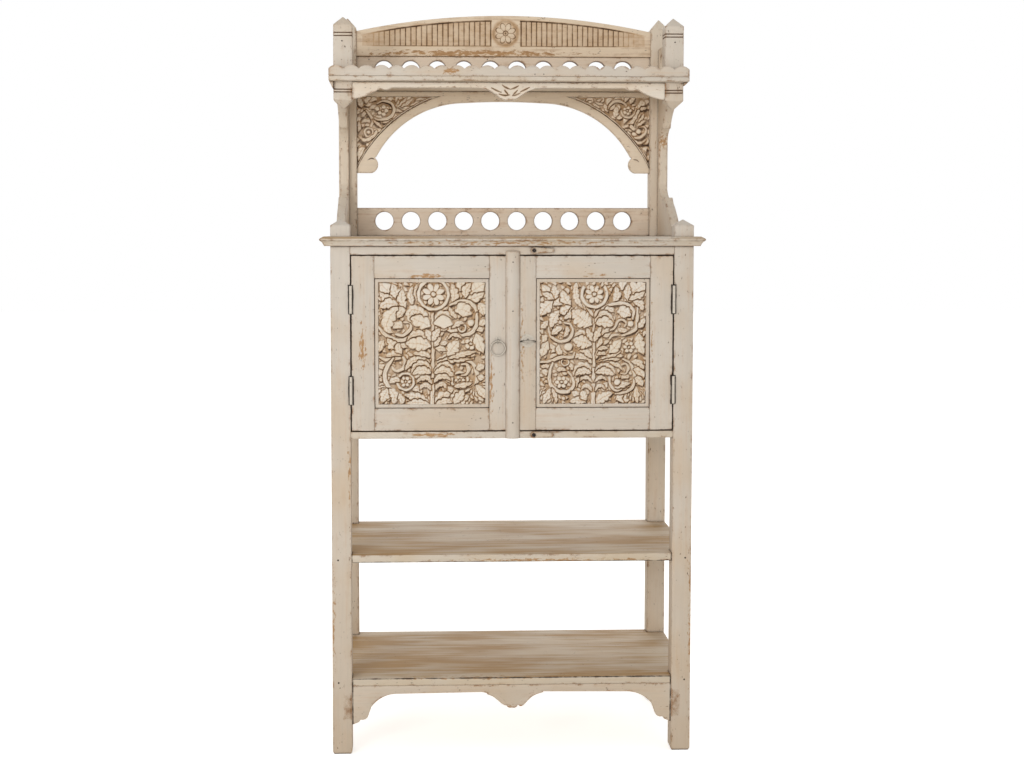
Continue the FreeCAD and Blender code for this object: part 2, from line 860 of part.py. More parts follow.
# Legs and posts, with their mortises, housings and hinge recesses
for side, sign in SIDES:
    x = inner if sign > 0 else -s.half_width
    point = s.leg / 2 - 1
    name = "front_%s_leg" % side
    whole = join(
        name + "_whole",
        [
            taper(name + "_foot", x, y0, 0, s.leg, s.leg, FOOT, 3, 0),
            shafts["front_" + side],
            taper(
                name + "_cap",
                x,
                y0,
                block_shoulder,
                s.leg,
                s.leg,
                s.block_point,
                0,
                point,
            ),
        ],
    )
    tools = [nodes["lower_apron"], rail_whole, nodes[side + "_side_panel"]]
    nodes[name] = cut(name, whole, tools + frame_leaves[side])

    name = "rear_%s_post" % side
    whole = join(
        name + "_whole",
        [
            taper(name + "_foot", x, rear_y, 0, s.leg, s.leg, FOOT, 3, 0),
            shafts["rear_" + side],
            taper(
                name + "_cap",
                x,
                rear_y,
                rear_shoulder,
                s.leg,
                s.leg,
                s.rear_point,
                0,
                point,
            ),
        ],
    )
    tools = [
        nodes[k]
        for k in (
            "back_panel",
            side + "_side_panel",
            "lower_gallery_rail",
            "upper_gallery_rail",
            "arch_board",
            "crest_board",
        )
    ]
    nodes[name] = cut(name, whole, tools)

    name = side + "_upper_post"
    whole = join(
        name + "_whole",
        [
            taper(
                name + "_pendant",
                x,
                upper_y,
                pendant_low - s.pendant_point,
                s.leg,
                s.leg,
                s.pendant_point,
                s.leg / 2 - 3,
                0,
            ),
            shafts["upper_" + side],
            taper(
                name + "_cap",
                x,
                upper_y,
                front_shoulder,
                s.leg,
                s.leg,
                s.front_point,
                0,
                point,
            ),
        ],
    )
    grooves = []
    for i, z in enumerate((up - 25.8, up - 19.3, front_shoulder - 26.8, front_shoulder - 19.6)):
        label = "%s_groove_%d" % (name, i)
        ring = box(label + "_out", x - 2, upper_y - 2, z, s.leg + 4, s.leg + 4, 1.7)
        core = box(label + "_core", x + 1.3, upper_y + 1.3, z - 1, s.leg - 2.6, s.leg - 2.6, 4)
        grooves.append(cut(label, ring, [core]))
    nodes[name] = cut(name, whole, grooves + [nodes["upper_apron"]])

doc.recompute()
os.makedirs("parts", exist_ok=True)
for item in doc.Objects:
    if "Invalid" in item.State or "Error" in item.State:
        raise RuntimeError("%s failed: %s" % (item.Name, item.State))
for name, item in nodes.items():
    item.Label = name
    shape = item.Shape
    if shape.isNull() or not shape.isValid() or not shape.Solids:
        raise RuntimeError("%s has no sound solid" % name)
    if len(shape.Solids) != 1:
        raise RuntimeError("%s is in %d pieces" % (name, len(shape.Solids)))
    shape.exportStep("parts/%s.step" % name)
print("pieces", len(nodes))
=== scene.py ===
import json
import math
import zlib
from functools import partial

import bmesh
import bpy
import numpy as np
from mathutils import Matrix, Vector


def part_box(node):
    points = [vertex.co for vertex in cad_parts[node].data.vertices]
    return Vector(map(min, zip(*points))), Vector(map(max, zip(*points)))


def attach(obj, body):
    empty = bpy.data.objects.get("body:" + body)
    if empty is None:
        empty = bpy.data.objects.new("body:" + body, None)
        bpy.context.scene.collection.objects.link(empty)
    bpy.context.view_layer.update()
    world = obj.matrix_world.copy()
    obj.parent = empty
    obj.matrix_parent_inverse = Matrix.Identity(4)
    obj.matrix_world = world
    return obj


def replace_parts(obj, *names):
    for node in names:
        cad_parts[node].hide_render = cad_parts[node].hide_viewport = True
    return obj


# Carved milk-painted cabinet on open shelves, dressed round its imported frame
# Metres, +Z up, front towards -Y; the carving is worked out in millimetres

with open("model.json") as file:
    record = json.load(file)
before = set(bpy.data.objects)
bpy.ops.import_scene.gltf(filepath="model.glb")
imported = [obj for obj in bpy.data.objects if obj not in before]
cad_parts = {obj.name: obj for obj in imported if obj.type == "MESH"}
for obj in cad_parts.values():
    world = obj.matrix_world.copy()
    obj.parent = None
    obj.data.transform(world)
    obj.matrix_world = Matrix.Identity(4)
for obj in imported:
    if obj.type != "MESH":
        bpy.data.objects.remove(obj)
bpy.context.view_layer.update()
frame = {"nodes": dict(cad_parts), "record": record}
scene = bpy.context.scene
scene.view_settings.view_transform = "Standard"
MM = 0.001

record = frame["record"]
body_of = {n: b for b, names in record["behaviour"]["bodies"].items() for n in names}
slot_of = {row["node"]: row["material_slot"] for row in record["subparts"]}
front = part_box("front_left_leg")[0].y / MM


def box_mm(node):
    """A node's lowest and highest corners in millimetres."""
    return [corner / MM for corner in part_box(node)]


def linear(text):
    """An sRGB hex colour as linear red, green, blue and alpha."""
    parts = [int(text[i : i + 2], 16) / 255 for i in (1, 3, 5)]
    light = [c / 12.92 if c <= 0.04045 else ((c + 0.055) / 1.055) ** 2.4 for c in parts]
    return (*light, 1.0)


def add(tree, kind, feeds=None, **settings):
    """Adds a node with its settings and its sockets' values or links, and gives its outputs.

    A Mix takes its share at 0 and its colours at 6 and 7. A MapRange takes its value at 0,
    the range that it comes from at 1 and 2, and the range that it goes to at 3 and 4.
    """
    item = tree.nodes.new("ShaderNode" + kind)
    for key, value in settings.items():
        setattr(item, key, value)
    for key, value in (feeds or {}).items():
        if isinstance(value, bpy.types.NodeSocket):
            tree.links.new(value, item.inputs[key])
        else:
            item.inputs[key].default_value = value
    return item.outputs


def per_mm(length):
    """The scale that gives a pattern features of this length in millimetres."""
    return 1000.0 / length


def fresh(name):
    """A new material, and the call that adds a node to it."""
    material = bpy.data.materials.new(name)
    material.use_nodes = True
    material.node_tree.nodes.clear()
    return material, partial(add, material.node_tree)


# Places where hands, hinges and damp have worn the paint to orange wood:
# middle and reach along each axis in millimetres, from the front of the legs, and how bare it is
WORN_PLACES = [
    ((-348, 0, 955), (12, 30, 62), 0.85),
    ((0, -24, 1197), (440, 24, 9), 0.72),
    ((-140, 134, 1604), (24, 20, 9), 0.95),
    ((-200, 0, 1121), (46, 20, 8), 0.95),
    ((190, 0, 1124), (40, 20, 9), 0.6),
    ((-190, 0, 753), (60, 30, 6), 1.0),
    ((404, 360, 1448), (20, 60, 26), 0.9),
    ((-80, 401, 1676), (300, 20, 10), 1.0),
    ((325, 0, 966), (6, 20, 90), 0.6),
    ((22, 0, 960), (8, 20, 150), 0.6),
    ((-50, 0, 870), (8, 20, 90), 0.75),
    ((-418, 0, 320), (6, 30, 160), 0.75),
    ((418, 0, 330), (8, 30, 260), 0.62),
    ((-378, 0, 660), (5, 30, 90), 0.75),
    ((70, 0, 457), (300, 30, 6), 0.8),
    ((-60, 0, 178), (230, 30, 4), 0.75),
    ((0, 180, 1600), (900, 30, 300), 0.30),
    ((5, 0, 111), (34, 40, 8), 0.62),
]

# Painted shade lines are drawn on the faces that lie from 1 mm before a piece's front to 25 mm behind
# it
SHADE_LINE_MIDDLE, SHADE_LINE_HALF = 12, 13
BETWEEN_LEGS = 373  # half of the width that shows between the front legs
TOP_LIP = 5


def shade_line_frame(low, high, margin, widest):
    """Middle and half size of a frame of painted shade lines in metres, and its widest line in
    millimetres.
    """
    middle = [(low.x + high.x) / 2, low.y + SHADE_LINE_MIDDLE * MM, (low.z + high.z) / 2]
    half = [(high.x - low.x) / 2 + margin * MM, SHADE_LINE_HALF * MM, (high.z - low.z) / 2 + margin * MM]
    return middle, half, widest


# Painted shade round the doors and hinges, along both lower shelves and under the lip of the cabinet's
# top
door_low, door_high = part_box("left_door_hinge_stile")[0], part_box("right_door_hinge_stile")[1]
SHADE_LINES = [shade_line_frame(door_low, door_high, 1.0, 2.4)]
for side, first, last in (("left", "frame", "door"), ("right", "door", "frame")):
    for level in ("upper", "lower"):
        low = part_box(f"{side}_{level}_{first}_leaf")[0]
        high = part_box(f"{side}_{level}_{last}_leaf")[1]
        SHADE_LINES.append(shade_line_frame(Vector((low.x, door_low.y, low.z)), high, 0.8, 2.4))
for node, foot, head, widest in (
    ("bottom_shelf", -118, -1.5, 1.8),
    ("middle_shelf", -17, 10, 1.5),
    ("cabinet_top", -23, -10, 1.0),
):
    low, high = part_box(node)
    wide = BETWEEN_LEGS * MM if "shelf" in node else high.x + TOP_LIP * MM
    low = Vector((-wide, low.y, high.z + foot * MM))
    SHADE_LINES.append(shade_line_frame(low, Vector((wide, high.y, high.z + head * MM)), 0.0, widest))

# Sizes of the marks in the paint, in millimetres; pores are drawn ten times too coarse, to show
COAT, CLOUD, CHIP, FLAKE, PORE = 160, 95, 26, 5, 2.8
FLAKE_LENGTH = 3  # in widths, along the grain
PAINT_IOR = 1.45
SOFT = {"interpolation_type": "SMOOTHSTEP"}
THICKNESS = {"inside": True, "only_local": True, "samples": 4}


def paint_skin(node, colour, rough, height, depth):
    """Ends a paint with a skin that is not metal, its bumps this deep in millimetres."""
    surface = node("Bump", {"Height": height, "Strength": 0.3, "Distance": depth * MM})[0]
    skin = {"Base Color": colour, "Roughness": rough, "Normal": surface, "IOR": PAINT_IOR}
    node("OutputMaterial", {"Surface": node("BsdfPrincipled", skin)[0]})


# Casein milk paint, brushed on hardwood and rubbed back: matt and chalky, cool cream, pitted,
# flaked to orange wood where it is worn, brown along rubbed arrises; soil and painted shade darken the
# seams and gaps.
# Colours are the coat, the coat where it is warmer, and the wood. thin, upper_thin and rub are
# how much wood shows in streaks, on upper faces and on arrises. mark is the width of a brush
# mark in millimetres, and its length in widths.
# The lighter colour given last is mixed in at the back of the shelves above, as painted light that
# lifts their shade.
def milk_paint(
    name, colours, thin=0.22, upper_thin=None, rub=0.85,
    mark=(7, 24), carved=False, bored=False, shade_lift_colour="#DCCDB8",
):
    material, node = fresh(name)
    light, warm, wood = (linear(text) for text in colours)
    grain = node("Attribute", attribute_name="grain")["Vector"]
    place = node("TexCoord")["Object"]
    long = node("VectorMath", {0: grain, 1: (1 / mark[1], 1, 1)}, operation="MULTIPLY")[0]
    short = node("VectorMath", {0: grain, 1: (1 / FLAKE_LENGTH, 1, 1)}, operation="MULTIPLY")[0]
    coat = node("TexNoise", {"Vector": grain, "Scale": per_mm(COAT), "Detail": 2.0})[0]
    broken = {"Scale": per_mm(CHIP), "Detail": 5.0, "Roughness": 0.65}
    chips = node("TexNoise", {"Vector": grain, **broken})[0]
    brush = node("TexNoise", {"Vector": long, "Scale": per_mm(mark[0]), "Detail": 4.0})[0]
    broken = {"Scale": per_mm(FLAKE), "Detail": 5.0, "Roughness": 0.7}
    flakes = node("TexNoise", {"Vector": short, **broken})[0]
    pores = node("TexNoise", {"Vector": short, "Scale": per_mm(PORE), "Detail": 1.0})[0]

    # The coat is warmer and darker low down; at the back of the shelves above a lighter colour is mixed
    # in, painted light that lifts the shade there
    spot = node("SeparateXYZ", {0: place})
    low = node("MapRange", {0: spot["Z"], 1: 0.05, 2: 1.0, 3: 0.75, 4: 0.0})[0]
    deep = node("MapRange", {0: spot["Y"], 1: -0.1, 2: 0.12, 4: 0.85})[0]
    above = node("MapRange", {0: spot["Z"], 1: 1.1, 2: 1.3, 3: 0.45})[0]
    deep = node("Math", {0: deep, 1: above}, operation="MULTIPLY")[0]
    tone = node("MapRange", {0: coat, 1: 0.40, 2: 0.68, 4: 0.7}, **SOFT)[0]
    tone = node("Math", {0: tone, 1: low}, operation="ADD", use_clamp=True)[0]
    colour = node("Mix", {0: tone, 6: light, 7: warm}, data_type="RGBA")[2]
    colour = node("Mix", {0: deep, 6: colour, 7: linear(shade_lift_colour)}, data_type="RGBA")[2]

    # Thin paint lets the wood through in fine streaks, most on the faces that get wiped
    streak = node("Math", {0: chips, 1: 0.5, 2: brush}, operation="MULTIPLY_ADD")[0]
    showing = node("MapRange", {0: streak, 1: 0.74, 2: 1.0, 4: thin}, **SOFT)[0]
    if upper_thin is not None:
        normal = node("NewGeometry")["True Normal"]
        upward = node("SeparateXYZ", {0: normal})["Z"]
        level = node("MapRange", {0: upward, 1: 0.6, 2: 0.9, 4: upper_thin})[0]
        cloud = node("TexNoise", {"Vector": short, "Scale": per_mm(CLOUD), "Detail": 3.0})[0]
        used = node("Math", {0: brush, 1: 0.7, 2: cloud}, operation="MULTIPLY_ADD")[0]
        wiped = node("MapRange", {0: used, 1: 0.70, 2: 0.98, 3: 0.06, 4: 1.0})[0]
        wiped = node("Math", {0: wiped, 1: level}, operation="MULTIPLY")[0]
        showing = node("Math", {0: showing, 1: wiped}, operation="MAXIMUM")[0]
    colour = node("Mix", {0: showing, 6: colour, 7: wood}, data_type="RGBA")[2]
    stroke = node("MapRange", {0: brush, 1: 0.3, 2: 0.7, 3: 0.95, 4: 1.04})[0]
    colour = node("Mix", {0: 1.0, 6: colour, 7: stroke}, data_type="RGBA", blend_type="MULTIPLY")[2]

    # What lies over the coat, from the lowest layer up: how much of it shows, and its colour
    layers = []

    # Bores and sawn edges of a thin board: brown as bare wood, and darkened with painted shade, most
    # round the rims of the bores
    if bored:
        facing = node("NewGeometry")["True Normal"]
        facing = node("SeparateXYZ", {0: facing})["Y"]
        facing = node("Math", {0: facing}, operation="ABSOLUTE")[0]
        sawn = node("MapRange", {0: facing, 1: 0.5, 2: 0.97, 3: 0.9, 4: 0.0})[0]
        layers.append((sawn, linear("#6A4A2E")))
        close = node("AmbientOcclusion", {"Distance": 3 * MM}, **THICKNESS)["AO"]
        rim_shade = node("MapRange", {0: close, 1: 0.60, 2: 0.92, 3: 0.85, 4: 0.0})[0]
        layers.append((rim_shade, linear("#4E321C")))

    # Pits and short splits along the grain, in patches
    pit = node("MapRange", {0: pores, 1: 0.67, 2: 0.74}, **SOFT)[0]
    patch = node("MapRange", {0: chips, 1: 0.51, 2: 0.62}, **SOFT)[0]
    pit = node("Math", {0: pit, 1: patch}, operation="MULTIPLY")[0]
    layers.append((pit, linear("#4A301C")))

    # Brown wood along arrises, which lie close to the wood's far side, and bare in the worn places
    worn = 0.0
    for (x, y, z), reach, strength in WORN_PLACES:
        centre = (x * MM, (y + front) * MM, z * MM)
        off = node("VectorMath", {0: place, 1: centre}, operation="SUBTRACT")[0]
        off = node("VectorMath", {0: off, 1: [r * MM for r in reach]}, operation="DIVIDE")[0]
        far = node("VectorMath", {0: off}, operation="LENGTH")["Value"]
        bared = node("MapRange", {0: far, 1: 0.3, 2: 1.5, 3: strength, 4: 0.0})[0]
        worn = node("Math", {0: worn, 1: bared}, operation="MAXIMUM")[0]
    bitten = node("Math", {0: worn, 1: 0.30, 2: flakes}, operation="MULTIPLY_ADD")[0]
    rubbed = node("MapRange", {0: bitten, 1: 0.68, 2: 0.76, 4: 0.9}, **SOFT)[0]
    if rub:
        inside = node("AmbientOcclusion", {"Distance": 6 * MM}, **THICKNESS)["AO"]
        patch = node("Math", {0: chips, 1: 1.6, 2: -0.8}, operation="MULTIPLY_ADD")[0]
        near = node("Math", {0: patch, 1: inside}, operation="SUBTRACT")[0]
        arris = node("MapRange", {0: near, 1: -0.74, 2: -0.48, 4: rub}, **SOFT)[0]
        browns = {6: linear("#B47E46"), 7: linear("#38200F")}
        brown = node("Mix", {0: flakes, **browns}, data_type="RGBA")[2]
        layers.append((arris, brown))
    bare = node("Mix", {0: flakes, 6: linear("#D8A76C"), 7: linear("#6E4828")}, data_type="RGBA")[2]
    layers.append((rubbed, bare))

    # Painted shade in uneven dark lines round doors, hinges and shelves, on the faces that look forward
    if rub:
        uneven = node("MapRange", {0: chips, 1: 0.36, 2: 0.56, 3: 0.45, 4: 1.0})[0]
        ahead = node("SeparateXYZ", {0: node("TexCoord")["Normal"]})["Y"]
        ahead = node("Math", {0: ahead, 1: -0.3}, operation="LESS_THAN")[0]
        for middle, half, widest in SHADE_LINES:
            off = node("VectorMath", {0: place, 1: middle}, operation="SUBTRACT")[0]
            off = node("VectorMath", {0: off}, operation="ABSOLUTE")[0]
            off = node("VectorMath", {0: off, 1: half}, operation="SUBTRACT")[0]
            off = node("SeparateXYZ", {0: off})
            edge = node("Math", {0: off["X"], 1: off["Z"]}, operation="MAXIMUM")[0]
            edge = node("Math", {0: edge}, operation="ABSOLUTE")[0]
            forward = node("Math", {0: off["Y"], 1: 0.0}, operation="LESS_THAN")[0]
            forward = node("Math", {0: forward, 1: ahead}, operation="MULTIPLY")[0]
            reach = node("Math", {0: uneven, 1: widest * MM}, operation="MULTIPLY")[0]
            edge = node("Math", {0: reach, 1: edge}, operation="SUBTRACT")[0]
            shade_line = node("MapRange", {0: edge, 2: MM, 4: forward})[0]
            layers.append((shade_line, linear("#1C1009")))

    # Carved relief: a tan wash on the ground and lower slopes, part old wash and part painted shade;
    # dark brown in the cuts, part soil and part painted shadow under the forms
    if carved:
        hollow = node("Attribute", attribute_name="hollow")["Fac"]
        patchy = node("MapRange", {0: chips, 1: 0.36, 2: 0.58, 3: 0.55, 4: 1.0})[0]
        bed = node("MapRange", {0: hollow, 1: 0.05, 2: 0.40, 4: patchy})[0]
        tans = {6: linear("#E0BF93"), 7: linear("#8F6036")}
        wash = node("Mix", {0: flakes, **tans}, data_type="RGBA")[2]
        layers.append((bed, wash))
        cut = node("MapRange", {0: hollow, 1: 0.40, 2: 0.82, 4: patchy})[0]
        layers.append((cut, linear("#38220F")))

    # Brown where boards meet, part old soil and part painted shade, and painted shade darkest down in
    # the gaps
    seam_soil_and_shade, gap_end, gap_shade_colour = (0.4, 0.30, "#3A2412") if carved else (0.8, 0.40, "#0A0503")
    outside = node("AmbientOcclusion", {"Distance": 9 * MM}, samples=4)["AO"]
    seam = node("MapRange", {0: outside, 1: 0.25, 2: 0.62, 3: seam_soil_and_shade, 4: 0.0}, **SOFT)[0]
    layers.append((seam, linear("#5E4027")))
    gap = node("MapRange", {0: outside, 1: 0.12, 2: gap_end, 3: 1.0, 4: 0.0}, **SOFT)[0]
    layers.append((gap, linear(gap_shade_colour)))

    for share, over in layers:
        colour = node("Mix", {0: share, 6: colour, 7: over}, data_type="RGBA")[2]
    lost = node("Math", {0: rubbed, 1: pit}, operation="MAXIMUM")[0]
    height = node("Math", {0: brush, 1: lost}, operation="SUBTRACT")[0]
    rough = node("MapRange", {0: lost, 3: 0.66, 4: 0.8})[0]
    paint_skin(node, colour, rough, height, 0.4)
    return material


# Wrought iron under a brushed coat of the same paint: dull grey cream, flaked to dark rust, with
# painted shade in its seams and on faces that turn away from the front
def painted_iron(name, light, rust_and_shade, flaked):
    material, node = fresh(name)
    spot = node("TexCoord")
    broken = {"Scale": per_mm(4), "Detail": 4.0, "Roughness": 0.65}
    flakes = node("TexNoise", {"Vector": spot["Object"], **broken})[0]
    gone = node("MapRange", {0: flakes, 1: 0.66 - flaked, 2: 0.72 - flaked}, **SOFT)[0]
    # Painted shade: dark where the iron lies close to other parts, and on faces that turn sideways from
    # the front, as an outline
    outside = node("AmbientOcclusion", {"Distance": 5 * MM}, samples=4)["AO"]
    seam = node("MapRange", {0: outside, 1: 0.15, 2: 0.62, 3: 1.0, 4: 0.0}, **SOFT)[0]
    facing = node("SeparateXYZ", {0: spot["Normal"]})["Y"]
    facing = node("Math", {0: facing}, operation="ABSOLUTE")[0]
    edge = node("MapRange", {0: facing, 1: 0.40, 2: 0.92, 3: 0.95, 4: 0.0}, **SOFT)[0]
    dark = node("Math", {0: gone, 1: seam}, operation="MAXIMUM")[0]
    dark = node("Math", {0: dark, 1: edge}, operation="MAXIMUM")[0]
    colour = node("Mix", {0: dark, 6: linear(light), 7: linear(rust_and_shade)}, data_type="RGBA")[2]
    rough = node("MapRange", {0: gone, 3: 0.5, 4: 0.8})[0]
    paint_skin(node, colour, rough, flakes, 0.3)
    return material


CREAM = ("#CEC4B7", "#C8B6A0", "#A98258")
FRAME_CREAM = ("#CCC2B5", "#C8B6A0", "#A98258")
SHELF_CREAM = ("#CDC3B5", "#C9B8A0", "#A5814F")
THIN_CREAM = ("#C8BCAB", "#C1AD93", "#9C7850")
RELIEF_CREAM = ("#DDD3C5", "#D9CBB6", "#BE9A72")
CREST_CREAM = ("#D2C2AC", "#CBB498", "#A07A52")
# The upper apron and its carved leaf are painted lighter than the frame: painted light in the shade
# under the top shelf.
APRON_LIT_CREAM = ("#DED4C6", "#D9C8B2", "#B48E62")
APRON_SHADE_LIFT = "#F0E2CE"
cut = {"rub": 0.0, "carved": True}
finishes = {
    "frame_paint": milk_paint("milk_paint_frame", FRAME_CREAM),
    "shelf_paint": milk_paint("milk_paint_shelves", SHELF_CREAM, upper_thin=0.95, mark=(14, 14)),
    "carved_paint": milk_paint("milk_paint_carved", CREAM, shade_lift_colour="#EAD9C1"),
    "bare_wood": milk_paint("milk_paint_thin", THIN_CREAM, thin=0.5),
    "iron": painted_iron("painted_iron", "#CBC1B2", "#1A110A", 0.03),
    "relief": milk_paint("milk_paint_relief", RELIEF_CREAM, shade_lift_colour="#F4E6D2", **cut),
    "relief_worn": milk_paint("milk_paint_crest", CREST_CREAM, 0.45, shade_lift_colour="#E8D4B9", **cut),
    "apron_painted_light": milk_paint("milk_paint_apron", APRON_LIT_CREAM, shade_lift_colour=APRON_SHADE_LIFT),
    "relief_apron": milk_paint("milk_paint_apron_leaf", APRON_LIT_CREAM, shade_lift_colour=APRON_SHADE_LIFT, **cut),
    "bored_rail": milk_paint("milk_paint_gallery", CREAM, 0.4, bored=True, shade_lift_colour="#EBD9C3"),
    "panel_paint": milk_paint("milk_paint_panel", CREAM, rub=0.0),
    "bead_paint": milk_paint("milk_paint_bead", FRAME_CREAM, rub=0.3),
    "bare_iron": painted_iron("rusted_iron", "#3A291D", "#140D08", 0.2),
}


def link(name, data):
    """A new object in the scene, of a mesh, a lens or a lamp."""
    piece = bpy.data.objects.new(name, data)
    scene.collection.objects.link(piece)
    return piece


def smooth_faces(mesh, sharp):
    """Shades the faces smooth, apart from edges sharper than this many degrees."""
    mesh.polygons.foreach_set("use_smooth", [True] * len(mesh.polygons))
    mesh.set_sharp_from_angle(angle=math.radians(sharp))


def closed_mesh(name, points, faces):
    """A mesh from points in millimetres, its faces turned outward."""
    mesh = bpy.data.meshes.new(name)
    mesh.from_pydata((points * MM).tolist(), [], faces)
    work = bmesh.new()
    work.from_mesh(mesh)
    bmesh.ops.recalc_face_normals(work, faces=work.faces)
    work.to_mesh(mesh)
    work.free()
    return mesh


def finish_piece(piece, body, slot, order="xyz", finish=None, grown_with=None):
    """Gives a new piece its finish, its grain along the first named axis, and its body."""
    mesh = piece.data
    mesh.materials.clear()
    mesh.materials.append(finishes[finish or slot])
    points = np.empty(len(mesh.vertices) * 3, np.float32)
    mesh.vertices.foreach_get("co", points)
    points = points.reshape(-1, 3)
    columns = ["xyz".index(letter) for letter in order]
    # Each board is cut from another place in the wood, so that no two show the same grain
    seed = zlib.crc32((grown_with or piece.name).encode()) % 997
    grain = points[:, columns] + np.array([seed * 0.37, seed * 0.11, seed * 0.23])
    attribute = mesh.attributes.new("grain", "FLOAT_VECTOR", "POINT")
    attribute.data.foreach_set("vector", grain.astype(np.float32).ravel())
    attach(piece, body)
    return piece


UPRIGHT, LENGTHWISE, DEEP = "zxy", "xyz", "yxz"
GRAIN = {
    UPRIGHT: ("leg", "post", "side_panel", "stile", "bead", "bracket", "door_panel"),
    DEEP: ("side_gallery", "moulding"),
}
OWN_FINISH = {
    "meeting_bead": "bead_paint",
    "upper_apron": "apron_painted_light",
    "gallery_rail": "bored_rail",
    "door_panel": "panel_paint",
}
WELD = 0.005
FLAT_TURN, ARRIS_TURN, SHARP_TURN = 0.6, 28, 40  # degrees between two faces
ARRIS, TOGGLE_ARRIS = 1.3, 0.5  # millimetres rubbed off


# Boards and posts: copies of the solids with their arrises rubbed round
def worn_copy(node, arris):
    mesh = frame["nodes"][node].data.copy()
    mesh.name = node + "_worn"
    work = bmesh.new()
    work.from_mesh(mesh)
    bmesh.ops.remove_doubles(work, verts=work.verts, dist=WELD * MM)
    flat = math.radians(FLAT_TURN)
    bmesh.ops.dissolve_limit(work, angle_limit=flat, verts=work.verts, edges=work.edges)
    paired = [e for e in work.edges if len(e.link_faces) == 2]
    bmesh.ops.bevel(
        work,
        geom=[e for e in paired if e.calc_face_angle(0.0) > math.radians(ARRIS_TURN)],
        offset=arris * MM,
        offset_type="OFFSET",
        segments=2,
        profile=0.5,
        affect="EDGES",
        clamp_overlap=False,
    )
    bmesh.ops.triangulate(work, faces=[f for f in work.faces if len(f.verts) > 4])
    work.to_mesh(mesh)
    work.free()
    smooth_faces(mesh, SHARP_TURN)
    piece = link(node + "_worn", mesh)
    lie = (axes for axes, words in GRAIN.items() if any(word in node for word in words))
    order = next(lie, LENGTHWISE)
    finish = next((paint for word, paint in OWN_FINISH.items() if word in node), None)
    finish_piece(piece, body_of[node], slot_of[node], order, finish)
    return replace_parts(piece, node)


for node, slot in slot_of.items():
    if slot == "iron":
        metal = frame["nodes"][node].data
        metal.materials.clear()
        metal.materials.append(finishes["bare_iron" if "screw" in node else "iron"])
    elif node != "crest_board":
        worn_copy(node, TOGGLE_ARRIS if "toggle" in node else ARRIS)


def smooth_route(points, steps=5):
    """Points along a smooth curve through the given ones."""
    ends = [points[0], *points, points[-1]]
    route = []
    for i in range(1, len(ends) - 2):
        p, a, b, n = (np.array(ends[j], float) for j in (i - 1, i, i + 1, i + 2))
        bend, twist = 2 * p - 5 * a + 4 * b - n, 3 * a - p - 3 * b + n
        for k in range(steps):
            t = k / steps
            route.append(0.5 * (2 * a + (b - p) * t + bend * t * t + twist * t**3))
    route.append(np.array(points[-1], float))
    return np.array(route)


